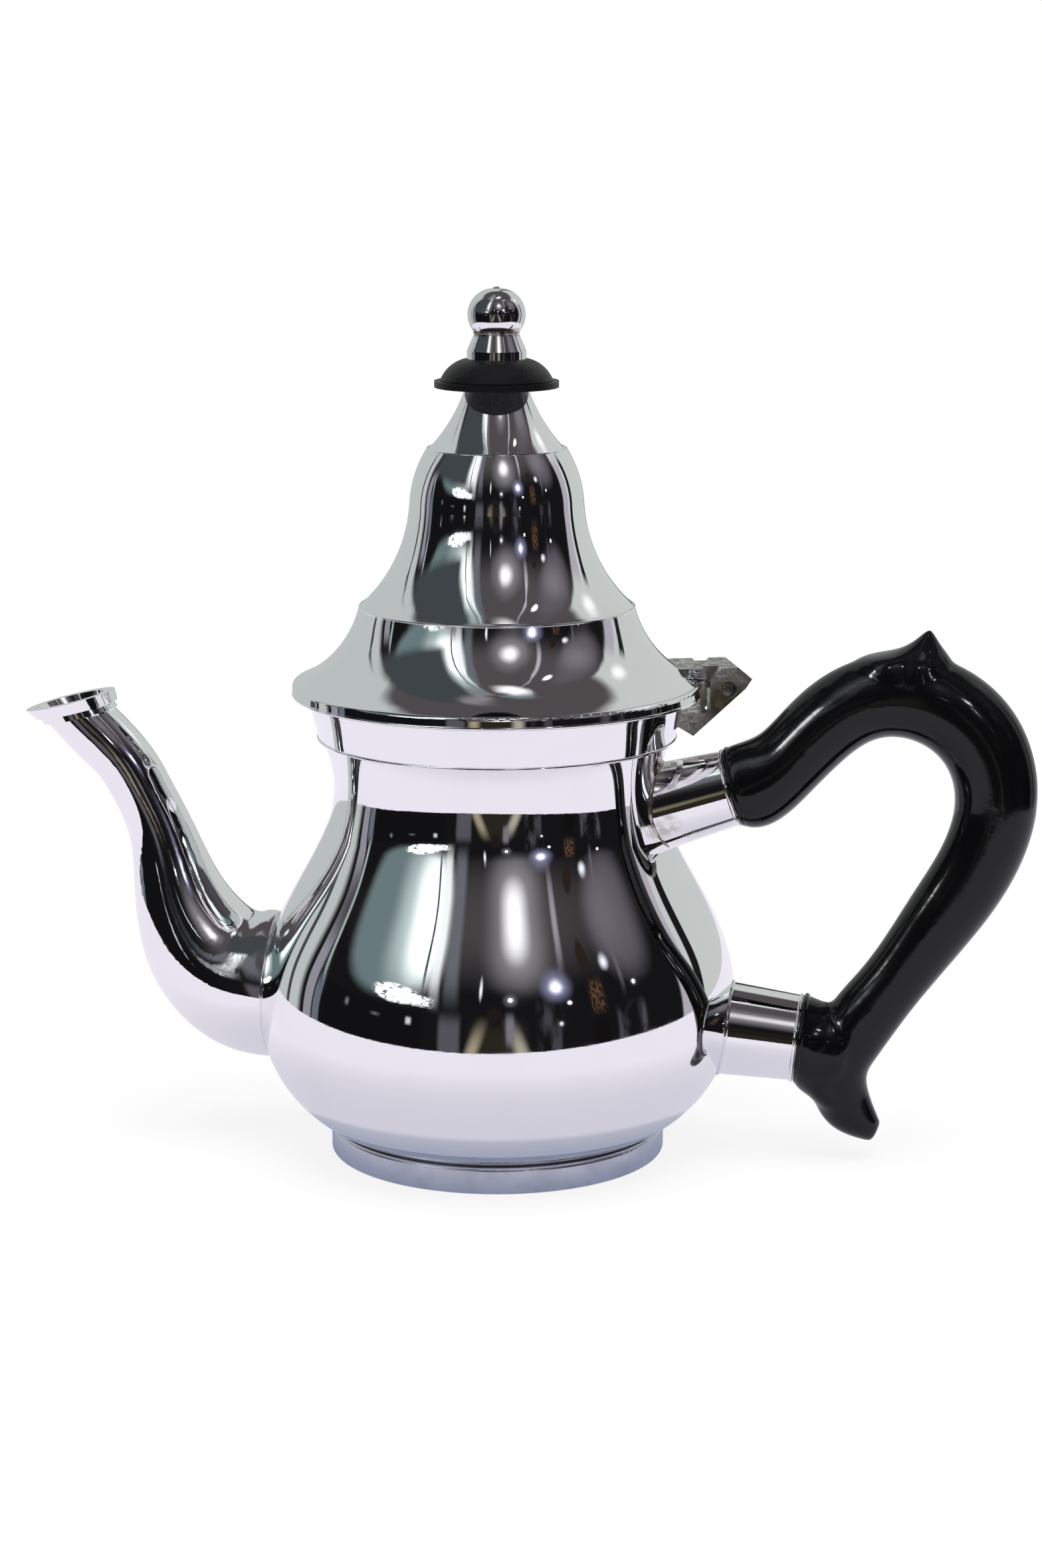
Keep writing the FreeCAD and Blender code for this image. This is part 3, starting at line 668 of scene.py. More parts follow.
def ring(name: str, radius: float, height: float, minor: float) -> Thing:
    """Makes a round bead about the pot's axis, of the given ring radius, height and bead radius."""
    centre = Vector((0.0, 0.0, height))
    return tube(name, circle(centre, Vector((0.0, 0.0, 1.0)), radius, 160), centre, minor)


def blob(name: str, centre: Vector, axes: Sequence[Vector], rough: float = 0.0, seed: float = 0.0) -> Thing:
    """Makes a lump: an oval ball with an uneven skin.

    Args:
        name: Name of the piece.
        centre: Middle of the lump.
        axes: Its three half axes.
        rough: Share by which its skin is uneven.
        seed: Number that sets its shape.

    Returns:
        The lump.
    """
    rows, columns = 18, 28
    points: list[Vector] = []
    for row in range(rows + 1):
        rise = pi * (row / rows - 0.5)
        for turn in turns(columns):
            swell = sin(3 * turn + seed) * cos(rise) + sin(4 * rise + 2 * turn + 2 * seed)
            size = 1.0 + rough * 0.5 * swell * cos(rise)
            flat = cos(rise) * size
            points.append(
                centre + axes[0] * (flat * cos(turn)) + axes[1] * (flat * sin(turn))
                + axes[2] * (sin(rise) * size)
            )
    return new_object(name, points, grid_faces(rows + 1, columns, (False, True)))


def seam(child: Thing, parent: Thing, centre: Vector, way: Vector) -> list[Vector]:
    """Closed line on which a piece's outer edge meets the skin that it is soldered to.

    Args:
        child: Node whose edge is followed.
        parent: Node that it meets.
        centre: Point inside the line.
        way: Direction that the line runs round.

    Returns:
        The line's points, in order.
    """
    skin = BVHTree.FromPolygons(
        [vertex.co for vertex in parent.data.vertices], [face.vertices for face in parent.data.polygons],
    )
    first, second = square_to(way)
    widest: dict[int, tuple[float, Vector]] = {}
    for vertex in child.data.vertices:
        if skin.find_nearest(vertex.co, CONTACT)[0] is None:
            continue
        arm = vertex.co - centre
        turn = atan2(arm.dot(second), arm.dot(first)) % tau
        place = int(turn / tau * SEAM_STEPS)
        size = (arm - way * arm.dot(way)).length
        if place not in widest or size > widest[place][0]:
            widest[place] = (size, vertex.co.copy())
    spots = [widest[place][1] for place in sorted(widest)]
    total = len(spots)
    return [(spots[i - 1] + spots[i] * 2 + spots[(i + 1) % total]) / 4 for i in range(total)]


@dataclass(frozen=True)
class SubAssembly:
    """Group of CAD nodes and fine pieces that belong together."""

    nodes: dict[str, Thing]
    finishes: dict[str, Finish]

    def dress(self) -> None:
        """Gives each CAD node of the group its finish."""
        for name, finish in self.finishes.items():
            wear(self.nodes[name], finish)
            LOG.info("node %s wears %s", name, finish.name)

    def build(self) -> None:
        """Adds the group's fine pieces."""


@dataclass(frozen=True)
class PotBody(SubAssembly):
    """Body, foot and collar.

    Seams have a radius, a height and a bead radius; belly and neck have a radius and a height. The outline between
    them has bows of the given radii, and a flank that leans inwards by so many degrees at both ends. The steps are
    those of lower bow, upper bow, flank, hollow and flare.
    """

    foot_seam: Ring = (37.5 * MM, 6.35 * MM, 0.22 * MM)
    collar_seam: Ring = (41.0 * MM, 98.1 * MM, 0.42 * MM)
    belly: Spot = (55.5 * MM, 34.6 * MM)
    neck: Spot = (37.6 * MM, 86.3 * MM)
    bottom: float = 6.2 * MM
    top: float = 98.0 * MM
    lower_bow: float = 31.33 * MM
    upper_bow: float = 46.5 * MM
    hollow: float = 24.8 * MM
    flare: float = 25.8 * MM
    lean: float = 22.0
    wall: float = 1.0 * MM
    steps: tuple[int, int, int, int, int] = (40, 30, 24, 24, 20)

    def skin(self) -> list[Spot]:
        """Outline of the body from the foot to the collar.

        Returns:
            The points, each as radius and height.
        """
        belly, waist = self.belly
        neck, narrow = self.neck
        below, above, flank, hollow, flare = self.steps
        fall = degrees(asin((self.bottom - waist) / self.lower_bow))
        lift = degrees(asin((self.top - narrow) / self.flare))
        line = arc((belly - self.lower_bow, waist), self.lower_bow, fall, 0.0, below)
        line += arc((belly - self.upper_bow, waist), self.upper_bow, 0.0, self.lean, above)[1:]
        rise = arc((neck + self.hollow, narrow), -self.hollow, self.lean, 0.0, hollow)
        line += ogee(line[-1], rise[0], self.lean, flank)[1:] + rise[1:]
        line += arc((neck + self.flare, narrow), -self.flare, 0.0, -lift, flare)[1:]
        return line

    def build(self) -> None:
        """Adds the body's skin and the seams of foot and collar."""
        outer = self.skin()
        inner = [(radius - self.wall, height) for radius, height in reversed(outer)]
        shell = lathe("plated_body", outer + inner)
        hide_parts("body_shell")
        settle(shell, Body.POT, CHROME)
        settle(ring("foot_seam", *self.foot_seam), Body.POT, PIN_DARK)
        settle(ring("collar_seam", *self.collar_seam), Body.POT, CHROME)


@dataclass(frozen=True)
class SpoutSet(SubAssembly):
    """Spout with its lip and the solder bead round its root."""

    root: Point = (-52.5 * MM, 0.0, 36.4 * MM)
    bead: float = 0.42 * MM
    swell: float = 0.35

    def build(self) -> None:
        """Adds the solder round the spout's root."""
        centre = Vector(self.root)
        line = seam(self.nodes["spout"], self.nodes["body_shell"], centre, Vector((-1.0, 0.0, 0.0)))
        settle(tube("spout_solder", line, centre, self.bead, self.swell), Body.POT, SOLDER)


@dataclass(frozen=True)
class HandleSet(SubAssembly):
    """Grip in its two sockets.

    Each socket has a name, root, open end, radius there, and the finish and radius of its solder bead. A rolled lip
    lies behind its end, and the grip's bead against it. The heel fills the corner at the grip's tail.
    """

    sockets: tuple[tuple[str, Point, Point, float, Finish, float], ...] = (
        ("upper", (37.6 * MM, 0.0, 82.2 * MM), (54.5 * MM, 0.0, 87.2 * MM), 8.7 * MM, BURNT_SOLDER, 0.50 * MM),
        ("lower", (55.5 * MM, 0.0, 30.1 * MM), (70.4 * MM, 0.0, 28.5 * MM), 9.9 * MM, SOLDER, 0.42 * MM),
    )
    solder_swell: float = 0.4
    lip: float = 0.45 * MM
    lip_back: float = 0.5 * MM
    bead: float = 0.75 * MM
    bead_inset: float = 0.05 * MM
    bead_swell: float = 0.06
    heel: Point = (76.9 * MM, 0.0, 17.2 * MM)
    heel_axes: tuple[Point, Point, Point] = (
        (5.6 * MM, 0.0, -6.3 * MM), (0.0, 7.4 * MM, 0.0), (3.2 * MM, 0.0, 2.8 * MM),
    )
    grain: float = 0.55 * MM
    softness: int = 40

    def build(self) -> None:
        """Evens the grip's skin, and adds the solder, lip and end bead of each socket."""
        self._even_skin()
        for name, root, end, radius, solder, bead in self.sockets:
            start, stop = Vector(root), Vector(end)
            way = (stop - start).normalized()
            line = seam(self.nodes[name + "_handle_socket"], self.nodes["body_shell"], start, way)
            settle(tube(name + "_socket_solder", line, start, bead, self.solder_swell), Body.POT, solder)
            line = circle(stop - way * self.lip_back, way, radius)
            settle(tube(name + "_socket_lip", line, stop, self.lip), Body.POT, SOCKET_CHROME)
            line = circle(stop + way * self.bead, way, radius - self.bead_inset)
            settle(tube(name + "_grip_bead", line, stop, self.bead, self.bead_swell), Body.POT, HANDLE_BLACK)

    def _with_heel(self) -> bpy.types.NodeTree:
        """Makes the heel, which shows only in the grip's skin.

        Returns:
            The node group that joins it to the grip.
        """
        heel = blob("grip_heel", Vector(self.heel), [Vector(axis) for axis in self.heel_axes])
        wear(heel, HANDLE_BLACK)
        heel.hide_render = True
        tree = bpy.data.node_groups.new("with_heel", "GeometryNodeTree")
        for way in ("INPUT", "OUTPUT"):
            tree.interface.new_socket("Geometry", in_out=way, socket_type="NodeSocketGeometry")
        graph = Graph(tree)
        both = graph.add("GeometryNodeJoinGeometry", None, {0: graph.add("NodeGroupInput")})
        extra = graph.add("GeometryNodeObjectInfo", None, {"Object": heel}, "Geometry")
        tree.links.new(extra.socket, both.socket.node.inputs[0])
        graph.add("NodeGroupOutput", None, {0: both})
        return tree

    def _even_skin(self) -> None:
        """Melts the grip's facets and its heel into one moulded skin with soft ends."""
        grip = self.nodes["handle_grip"]
        grip.modifiers.new("with_heel", "NODES").node_group = self._with_heel()
        skin = grip.modifiers.new("moulded_skin", "REMESH")
        skin.mode = "VOXEL"
        skin.voxel_size = self.grain
        skin.use_smooth_shade = True
        soft = grip.modifiers.new("soft_edges", "SMOOTH")
        soft.factor = 0.5
        soft.iterations = self.softness


@dataclass(frozen=True)
class HingeSet(SubAssembly):
    """Lid hinge with its pin heads and solder.

    The pin is turned so many degrees from the handle. The heads and the heap of lumps on the lid, with their places,
    half axes, roughness, seeds and finishes, are measured in millimetres from it.
    """

    turn: float = 17.0
    reach: float = 52.8 * MM
    height: float = 108.3 * MM
    head_middle: float = 7.85
    head_axes: Point = (1.75, 0.5, 1.75)
    heap: tuple[tuple[str, Point, Point, float, float, Finish], ...] = (
        ("leaf_solder_a", (-9.2, -7.3, 2.2), (3.2, 1.4, 1.5), 0.35, 0.4, SOLDER),
        ("leaf_solder_b", (-8.4, -7.4, 3.9), (1.5, 0.9, 1.2), 0.35, 1.9, SOLDER),
        ("leaf_solder_c", (-11.6, -6.9, 3.0), (2.2, 1.4, 1.1), 0.40, 2.6, BURNT_SOLDER),
    )

    def at(self, out: float, across: float, up: float) -> Vector:
        """Place so many millimetres outwards from the pin, along it towards the far side, and upwards."""
        spot = Vector((self.reach + out * MM, across * MM, self.height + up * MM))
        return Matrix.Rotation(radians(self.turn), 3, "Z") @ spot

    def axes(self, out: float, across: float, up: float) -> tuple[Vector, Vector, Vector]:
        """Half axes of a lump, in millimetres outwards, along the pin and upwards."""
        pin = self.at(0.0, 0.0, 0.0)
        return self.at(out, 0.0, 0.0) - pin, self.at(0.0, across, 0.0) - pin, self.at(0.0, 0.0, up) - pin

    def build(self) -> None:
        """Adds the pin's heads and the solder on the lid's leaf."""
        for name, side in (("near", -1.0), ("far", 1.0)):
            middle = self.at(0.0, side * self.head_middle, 0.0)
            head = blob("pin_head_" + name, middle, self.axes(*self.head_axes), rough=0.05, seed=1.0)
            settle(head, Body.POT, PIN_DARK)
        for name, spot, size, rough, seed, finish in self.heap:
            settle(blob(name, self.at(*spot), self.axes(*size), rough, seed), Body.LID, finish)


@dataclass(frozen=True)
class LidSet(SubAssembly):
    """Spun lid with fine beads on its rim and ledges, each with its radius, height and bead radius."""

    beads: tuple[tuple[str, float, float, float], ...] = (
        ("lid_rim_bead", 46.55 * MM, 108.25 * MM, 0.48 * MM),
        ("lid_lower_ledge", 31.30 * MM, 128.05 * MM, 0.30 * MM),
        ("lid_upper_ledge", 15.70 * MM, 164.05 * MM, 0.28 * MM),
    )

    def build(self) -> None:
        """Adds the lid's fine rings."""
        for bead in self.beads:
            settle(ring(*bead), Body.LID, LID_CHROME)


@dataclass(frozen=True)
class FinialSet(SubAssembly):
    """Knob on its heat shield, with a nipple on its tip and a bead in the groove under its ball."""

    tip: float = 199.7 * MM
    nipple: Point = (1.1 * MM, 1.1 * MM, 0.7 * MM)
    groove: Ring = (4.95 * MM, 190.15 * MM, 0.32 * MM)

    def build(self) -> None:
        """Adds the nipple on the knob and the bead in its groove."""
        axes = [Vector(axis) for axis in Matrix.Diagonal(self.nipple)]
        settle(blob("knob_nipple", Vector((0.0, 0.0, self.tip)), axes), Body.LID, KNOB_CHROME)
        settle(ring("knob_groove", *self.groove), Body.LID, KNOB_CHROME)


@dataclass(frozen=True)
class RoomPatch:
    """Curved card of the room round the pot, seen only in reflections.

    Its turn and rise are degrees at its two ends, from the camera's side towards the handle and above the horizon. It
    shows in the plating as a colour from 0 to 255, and glow times as bright. Its edges fade over a soft share of its
    width, its top may lean on by so many degrees, and it may be broken into patches or stand near the pot.
    """

    name: str
    turn: Spot
    rise: Spot
    shown: Colour
    glow: float = 1.0
    soft: float = 0.0
    form: PatchForm = PatchForm.PANEL
    lean: float = 0.0
    broken: float = 0.0
    near: float = 0.0

    def build(self, centre: Vector, far: float) -> Thing:
        """Makes the card round a centre.

        Args:
            centre: Place that the card curves round.
            far: Distance of the card from that place.

        Returns:
            The card, not yet on the stage.
        """
        across, up = (max(2, int(abs(ends[1] - ends[0]) / CARD_STEP)) for ends in (self.turn, self.rise))
        spots = [(column / across, row / up) for row in range(up + 1) for column in range(across + 1)]
        ways = [aim(blend(self.turn, u) + self.lean * v, blend(self.rise, v)) for u, v in spots]
        points = [centre + (self.near or far) * way for way in ways]
        card = new_object(self.name, points, grid_faces(up + 1, across + 1, (False, False)))
        layer = card.data.uv_layers.new(name="card")
        for loop in card.data.loops:
            layer.data[loop.index].uv = spots[loop.vertex_index]
        graph = new_graph(card, "room_" + self.name)
        light = graph.glow(as_light(self.shown), self.glow)
        if self.soft > 0:
            light = graph.mixed(self._mask(graph), graph.add("ShaderNodeBsdfTransparent"), light)
        graph.surface(light)
        return card

    def _mask(self, graph: Graph) -> Shade:
        """Builds the card's outline.

        Args:
            graph: Node tree that takes it.

        Returns:
            1 on the card and 0 beyond its edge.
        """
        spot = graph.add("ShaderNodeTexCoord", output="UV")
        if self.form is PatchForm.ROUND:
            mask = graph.distance(spot, (0.5, 0.5, 0.0)).ramp(0.5 - 0.5 * self.soft, 0.5, 1.0, 0.0)
        elif self.form is PatchForm.RISING:
            mask = graph.axis(spot, "Y").ramp(0.0, self.soft)
        else:
            u, v = graph.axis(spot, "X"), graph.axis(spot, "Y")
            mask = u.least(1.0 - u).ramp(0.0, self.soft) * v.least(1.0 - v).ramp(0.0, self.soft)
        if self.broken > 0:
            mask = mask * graph.noise(spot, self.broken, 3.0).ramp(0.40, 0.60)
        return mask


def linear(part: float) -> float:
    """Linear light of a display value from 0 to 1."""
    return part / 12.92 if part < 0.04045 else ((part + 0.055) / 1.055) ** 2.4


def as_light(shown: Colour) -> Colour:
    """Light whose mirror image in the plating shows as a colour from 0 to 255."""
    return tuple(linear(part / 255.0) / CHROME.colour[0] for part in shown)


def aim(turn: float, rise: float) -> Vector:
    """Direction at so many degrees from the camera's side towards the handle and above the horizon."""
    across, up = radians(turn), radians(rise)
    return Vector((sin(across) * cos(up), -cos(across) * cos(up), sin(up)))


def blend(ends: Spot, share: float) -> float:
    """Value at a share of the way between two ends."""
    return ends[0] + (ends[1] - ends[0]) * share


PANEL, ROUND, RISING = PatchForm
ROOM: tuple[RoomPatch, ...] = tuple(RoomPatch(*row) for row in (
    ("dark_room", (-180, 180), (-50, 60), (20, 20, 22)),
    ("ceiling", (-180, 180), (22, 89.9), (78, 74, 76), 1, 0.45, RISING),
    ("left_wall", (-180, -98), (-50, 56), (184, 189, 188), 1, 0.06),
    ("right_wall", (106, 180), (-50, 54), (194, 198, 196), 1, 0.06),
    ("left_band", (-97, -90), (-50, 28), (142, 140, 150), 1, 0.16),
    ("left_shade", (-90, -84.5), (-50, 15), (98, 107, 117), 1, 0.16),
    ("left_streak", (-87, -84.5), (6, 34), (165, 176, 176), 1, 0.35, PANEL, -6),
    ("left_gap", (-112, -108.5), (-50, 44), (64, 66, 68), 1, 0.25),
    ("window_haze", (-94, -18), (12, 106), (104, 121, 123), 1, 0.16, ROUND),
    ("window", (-64, -18), (12, 88), (196, 210, 210), 1, 0.7, ROUND, -6),
    ("window_light", (-50, -15), (16, 74), (250, 255, 255), 1.9, 1, ROUND, -6),
    ("window_core", (-58, -28), (12.5, 23), (250, 255, 255), 12, 1, ROUND, 0, 8),
    ("window_sill", (-50, -21), (13, 20), (225, 230, 230), 3, 0.3, PANEL, 0, 14),
    ("black_sill", (-84, -27), (-50, 12), (17, 17, 19), 1, 0.03),
    ("shelf_light_a", (-36, -32), (2.5, 8), (205, 209, 209), 1, 0.4),
    ("shelf_light_b", (-70, -66.5), (4, 9), (120, 126, 126), 1, 0.5),
    ("shelf_light_c", (-55, -48), (4, 6.5), (96, 102, 102), 1, 0.5),
    ("strip_edge", (-29.5, -27.5), (12, 84), (60, 66, 70), 1, 0.3, PANEL, -9),
    ("strip", (-26, -18.5), (10, 88), (226, 230, 232), 1.2, 0.38, PANEL, -10),
    ("post_block", (-20.5, -8), (-40, 14.5), (84, 82, 89), 1, 0.2),
    ("post", (-19.5, -8.5), (10, 86), (100, 104, 110), 1, 0.35, PANEL, -8),
    ("thin_light", (-1.2, 1.2), (18, 34), (205, 207, 212), 1.6, 0.9, ROUND),
    ("low_dark", (-8, 25), (-40, 11), (40, 36, 30), 1, 0.22),
    ("pale_slant_left", (-16, -7), (-36, 13), (158, 148, 124), 1, 0.45, PANEL, 14),
    ("pale_slant_right", (23, 33), (-36, 13), (168, 162, 146), 1, 0.45, PANEL, -15),
    ("dark_spot", (3, 11), (8, 17), (30, 26, 24), 1, 0.3, ROUND),
    ("glow", (-4, 46), (18, 68), (148, 145, 150), 1, 1, ROUND),
    ("glow_core", (8, 32), (34, 56), (255, 254, 255), 1.25, 1, ROUND),
    ("pillar", (11.5, 17), (-8, 15), (118, 115, 126), 1, 0.35),
    ("door", (26, 41), (-40, 24), (66, 64, 71), 1, 0.25, PANEL, 0, 3),
    ("lamp_a_halo", (10, 19.5), (15, 25), (110, 110, 118), 1, 1, ROUND),
    ("lamp_a", (13.4, 16), (18.8, 21.4), (255, 255, 255), 8, 0.9, ROUND),
    ("lamp_b_halo", (28, 49), (15, 35), (150, 152, 186), 1, 1, ROUND),
    ("lamp_b_glow", (33.5, 43.5), (20, 30), (235, 238, 255), 1.6, 1, ROUND),
    ("lamp_b", (36.2, 40.8), (22.8, 27.4), (246, 249, 255), 22, 0.9, ROUND),
    ("lamp_c", (42.6, 45.2), (14.4, 17), (255, 255, 255), 5, 0.9, ROUND),
    ("lamp_d", (37.3, 39.9), (3.8, 7), (235, 235, 240), 1.4, 0.9, ROUND),
    ("right_strip", (39.5, 45), (27, 86), (182, 177, 187), 1, 0.4, PANEL, 16),
    ("brown_spot", (53.5, 60.5), (28, 38), (42, 32, 28), 1, 0.3, ROUND),
    ("brown_panel", (53, 63), (6, 27), (96, 70, 50), 1, 0.3, PANEL, 1, 9),
    ("brown_foot", (54, 63), (-40, 7), (17, 15, 15), 1, 0.2),
    ("right_cloth", (66, 84), (-40, 11), (78, 74, 82), 1, 0.14, PANEL, 0, 2),
    ("right_light", (64.5, 72), (25.5, 32.5), (220, 224, 234), 1.6, 1, ROUND),
    ("high_light", (64, 74), (60, 68), (225, 228, 235), 3.5, 1, ROUND),
    ("right_spot", (78.8, 81.4), (15.6, 18.6), (255, 255, 255), 3, 0.9, ROUND),
    ("right_line", (71, 74.5), (10, 70), (112, 112, 120), 1, 0.4, PANEL, 9),
    ("right_haze", (62, 108), (14, 72), (92, 88, 96), 1, 0.5, ROUND),
    ("right_glow", (60, 104), (26, 58), (120, 117, 124), 1, 1, ROUND),
    ("right_band", (104, 115), (-40, 36), (172, 167, 177), 1, 0.16, PANEL, 4),
    ("right_gap", (117, 123.5), (-40, 32), (24, 24, 26), 1, 0.12, PANEL, 5),
    ("right_flare", (115, 136), (33, 47), (245, 246, 246), 1.1, 0.9, ROUND),
    ("lid_screen", (-96, -27), (36, 82), (62, 68, 71), 1, 0.16, PANEL, 0, 0, 0.22),
    ("top_lamp", (-15, 125), (76, 88), (246, 245, 246), 1.3, 0.4),
    ("top_grey", (-180, -20), (74, 89), (130, 128, 131), 1, 0.3),
))


def new_graph(thing: Thing, name: str) -> Graph:
    """Puts a new material on a bare object, and hands back its empty graph."""
    thing.data.materials.append(new_material(name))
    return Graph(thing.data.materials[0].node_tree)


def stand(thing: Thing, spot: Vector, target: Vector) -> None:
    """Stands a lamp or a camera in the scene.

    Args:
        thing: The lamp or camera.
        spot: Where it stands.
        target: Place that it faces.
    """
    thing.location = spot
    thing.rotation_euler = (target - spot).to_track_quat("-Z", "Y").to_euler()
    bpy.context.scene.collection.objects.link(thing)


def area_lamp(name: str, side: float, power: float) -> Thing:
    """Makes a square lamp.

    Args:
        name: Name of the lamp.
        side: Its side.
        power: Its power in watts.

    Returns:
        The lamp, not yet in the scene.
    """
    lamp = bpy.data.lights.new(name, "AREA")
    lamp.size = side
    lamp.energy = power
    return bpy.data.objects.new(name, lamp)


@dataclass(frozen=True)
class Studio:
    """White paper floor, room, lamps and camera.

    Turns are degrees from the camera's side, -Y, towards the handle, and rises are degrees above the horizon. The
    floor's fade has two distances and its whiteness at both. The paper's colours are those that the plating shows,
    from 0 to 255, and hold painted shade: a fade that darkens the paper towards the pot, given near and far, and a
    painted shadow under the pot, given inside and outside. Each pane has a turn, a rise, a side and a power.
    """

    grip: Thing
    floor_half: float = 4.0
    floor_colour: Colour = (0.80, 0.79, 0.82)
    floor_fade: tuple[float, float, float, float] = (0.16, 0.55, 0.86, 1.0)
    paper_front: float = 0.31
    paper_side: float = 0.42
    paper_back: float = 0.60
    # Painted shade in the paper: a fade, near and far, that is darker near the pot; a shadow under it, inside and
    # outside.
    paper_painted_fade: tuple[Colour, Colour] = ((206, 204, 215), (233, 229, 239))
    paper_painted_shadow: tuple[Colour, Colour] = ((158, 164, 182), (178, 181, 196))
    room_height: float = 80.0 * MM
    room_reach: float = 3.0
    card_gap: float = 0.02
    world_colour: Colour = (0.80, 0.80, 0.82)
    world_light: float = 0.55
    lamp: Spot = (1.4, 34.0)
    lamp_spot: Point = (0.15, -0.35, 1.5)
    lamp_target: Point = (0.0, 0.0, 0.05)
    panes: tuple[tuple[float, float, float, float], ...] = (
        (-45.0, 22.0, 0.20, 4.2), (-66.0, 18.0, 0.16, 3.4), (2.0, 42.0, 0.12, 1.0), (38.0, 34.0, 0.10, 1.0),
    )
    pane_reach: float = 1.6
    pane_target: Point = (85.0 * MM, 0.0, 85.0 * MM)
    camera_turn: float = 8.5
    camera_reach: float = 0.8
    camera_height: float = 0.253
    target_height: float = 86.4 * MM
    target_shift: float = 5.5 * MM
    lens: float = 81.3
    sensor: float = 36.0

    def build(self) -> None:
        """Builds the whole stage."""
        self._floor()
        self._room()
        self._world()
        stand(area_lamp("overhead", *self.lamp), Vector(self.lamp_spot), Vector(self.lamp_target))
        bpy.data.objects["overhead"].visible_glossy = False
        self._panes()
        self._camera()

    def _floor(self) -> None:
        """Makes the white floor that carries the pot's shadow."""
        half = self.floor_half
        corners = [Vector((x, y, 0.0)) for x, y in ((-half, -half), (half, -half), (half, half), (-half, half))]
        floor = new_object("floor", corners, [(0, 1, 2, 3)])
        graph = new_graph(floor, "white_floor")
        base = graph.add("ShaderNodeBsdfDiffuse", None, {"Color": (*self.floor_colour, 1.0)})
        plain = graph.distance(graph.place()).ramp(*self.floor_fade)
        graph.surface(graph.mixed(graph.seen() * plain, base, graph.glow(WHITE)))
        floor.visible_glossy = False

    def _mirrored_paper(self) -> Thing:
        """Makes the paper as the plating shows it, with painted shade near and a painted shadow under the pot.

        Returns:
            The paper, not yet on the stage.
        """
        rim = []
        for turn in turns(120):
            reach = self.paper_front if cos(turn) > 0 else self.paper_back
            rim.append(Vector((self.paper_side * sin(turn), -reach * cos(turn), 0.0)))
        card = new_object("mirrored_paper", rim, [tuple(range(len(rim)))])
        graph = new_graph(card, "mirrored_paper")
        away = graph.distance(graph.place())
        # Painted shade: the paper's glow darkens towards the pot, as if the pot shaded it.
        painted_fade = graph.tint(away.ramp(50.0 * MM, 150.0 * MM), *map(as_light, self.paper_painted_fade))
        # Painted shadow: a darker, bluer disc on the paper under the pot, fading outwards to its rim.
        under = graph.tint(away.ramp(38.0 * MM, 52.0 * MM), *map(as_light, self.paper_painted_shadow))
        # Rim of the painted shadow, where the disc gives way to the faded paper.
        edge = away.ramp(47.5 * MM, 51.5 * MM, 1.0, 0.0)
        graph.surface(graph.mixed(edge, graph.glow(painted_fade), graph.glow(under)))
        return card

    def _room(self) -> None:
        """Makes the cards that only reflections see."""
        centre = Vector((0.0, 0.0, self.room_height))
        cards = [patch.build(centre, self.room_reach - self.card_gap * place) for place, patch in enumerate(ROOM)]
        cards.append(self._mirrored_paper())
        for card in cards:
            for sight in ("camera", "diffuse", "transmission", "shadow"):
                setattr(card, "visible_" + sight, False)
        LOG.info("room of %d cards", len(cards))

    def _world(self) -> None:
        """Makes the soft light all round, and the white that the camera sees behind the pot."""
        world = bpy.data.worlds.new("studio_world")
        world.use_nodes = True
        bpy.context.scene.world = world
        graph = Graph(world.node_tree)
        soft, white = (
            graph.add("ShaderNodeBackground", None, {"Color": (*colour, 1.0), "Strength": strength})
            for colour, strength in ((self.world_colour, self.world_light), (WHITE, 1.0))
        )
        graph.surface(graph.mixed(graph.seen(), soft, white), "ShaderNodeOutputWorld")

    def _panes(self) -> None:
        """Adds the bright panes whose gleam lies on the handle alone."""
        handle = bpy.data.collections.new("handle_only")
        handle.objects.link(self.grip)
        middle = Vector(self.pane_target)
        for place, (turn, rise, side, power) in enumerate(self.panes):
            pane = area_lamp("pane_%d" % place, side, power)
            stand(pane, middle + self.pane_reach * aim(turn, rise), middle)
            pane.light_linking.receiver_collection = handle

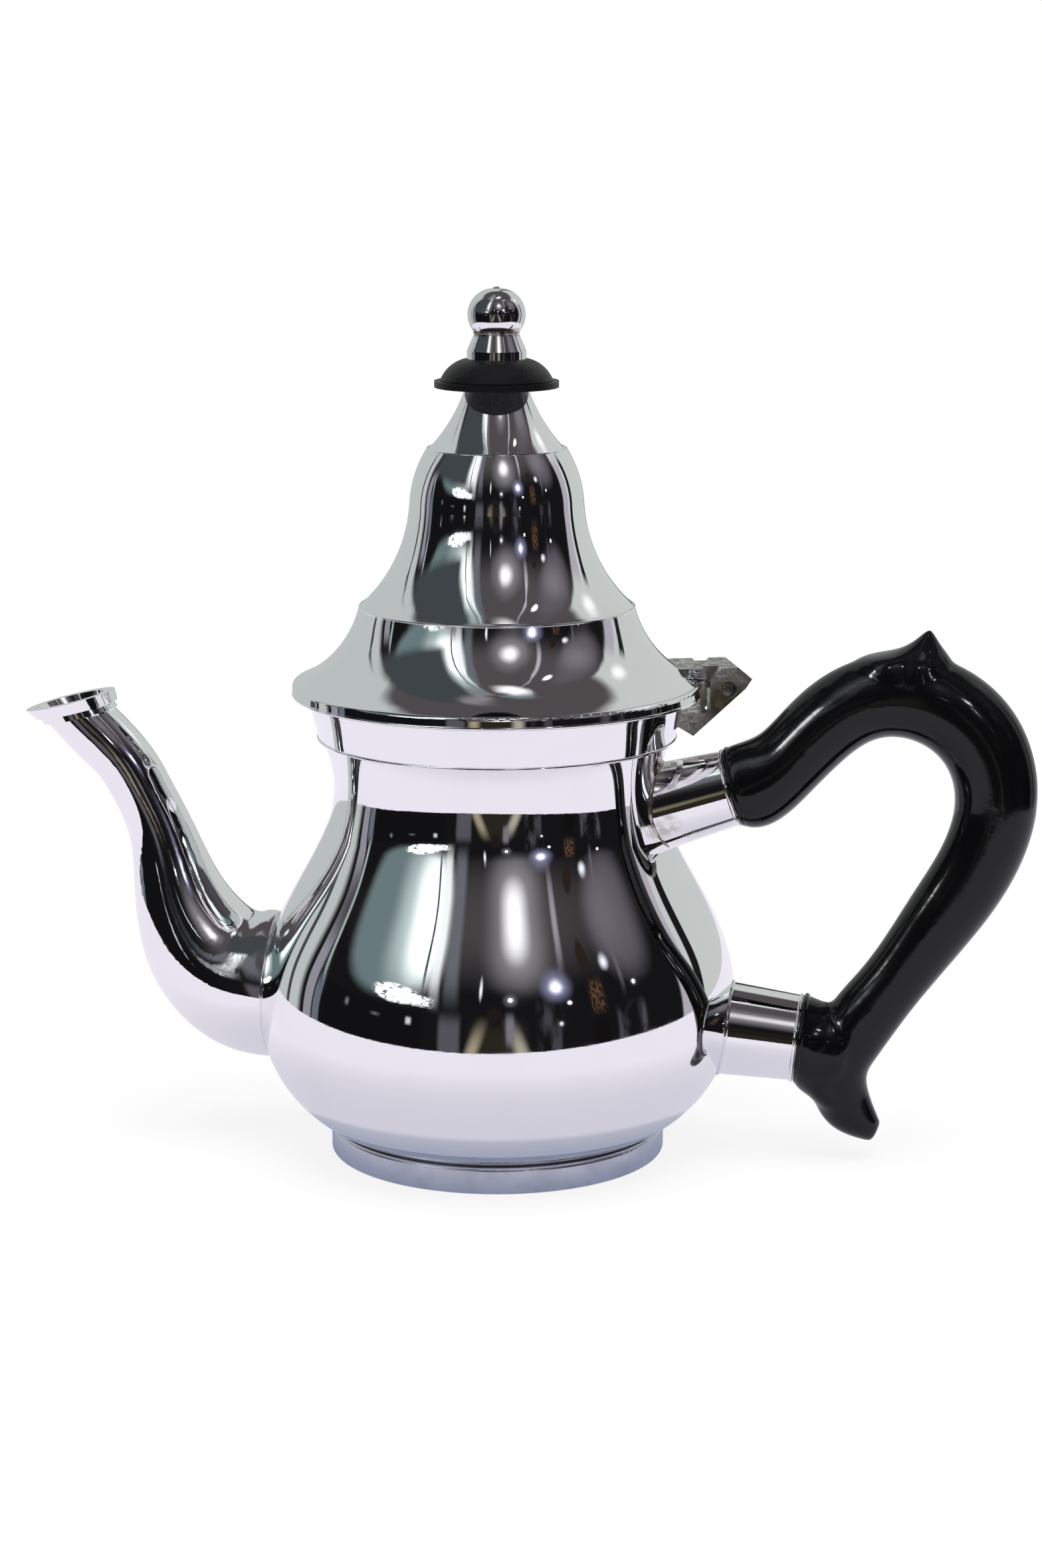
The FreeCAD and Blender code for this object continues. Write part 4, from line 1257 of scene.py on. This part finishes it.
    def _camera(self) -> None:
        """Stands the camera where the photo was taken from."""
        turn = radians(self.camera_turn)
        data = bpy.data.cameras.new("photo_camera")
        data.sensor_width = self.sensor
        data.lens = self.lens
        camera = bpy.data.objects.new("photo_camera", data)
        reach = self.camera_reach
        spot = Vector((sin(turn) * reach, -cos(turn) * reach, self.camera_height))
        right = Vector((cos(turn), sin(turn), 0.0))
        stand(camera, spot, right * self.target_shift + Vector((0.0, 0.0, self.target_height)))
        bpy.context.scene.camera = camera


def clear_scene() -> None:
    """Removes whatever the start-up file holds."""
    for thing in list(bpy.data.objects):
        bpy.data.objects.remove(thing)


def assemblies(nodes: dict[str, Thing]) -> list[SubAssembly]:
    """Lists the sub-assemblies of the pot, each with its CAD nodes and finishes.

    Args:
        nodes: Objects of the frame by name.

    Returns:
        The sub-assemblies, in the order in which they are built.
    """
    return [
        PotBody(nodes, {
            "body_shell": CHROME, "foot_ring": FOOT_SATIN, "base_plate": FOOT_SATIN, "neck_collar": CHROME,
        }),
        SpoutSet(nodes, {"spout": CHROME, "spout_lip": CHROME, "spout_strainer": CHROME}),
        HandleSet(nodes, {
            "upper_handle_socket": SOCKET_CHROME, "lower_handle_socket": CHROME, "handle_grip": HANDLE_BLACK,
            "upper_handle_pin": PIN_STEEL, "lower_handle_pin": PIN_STEEL,
        }),
        HingeSet(nodes, {"hinge_bracket": HINGE_CAST, "lid_hinge_leaf": HINGE_CAST, "hinge_pin": PIN_STEEL}),
        LidSet(nodes, {"lid_shell": LID_CHROME, "lid_flange": CHROME}),
        FinialSet(nodes, {
            "finial_disc": DISC_BLACK, "finial_knob": KNOB_CHROME, "finial_stud": PIN_STEEL,
            "finial_washer": PIN_STEEL, "finial_nut": PIN_STEEL,
        }),
    ]


def main() -> None:
    """Builds the pot round its frame, and then its studio."""
    logging.basicConfig(level=logging.INFO, format="%(name)s: %(message)s")
    clear_scene()
    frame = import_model()
    for group in assemblies(frame["nodes"]):
        group.dress()
        group.build()
    Studio(frame["nodes"]["handle_grip"]).build()
    bpy.context.scene.view_settings.view_transform = "Standard"


if __name__ == "__main__":
    main()
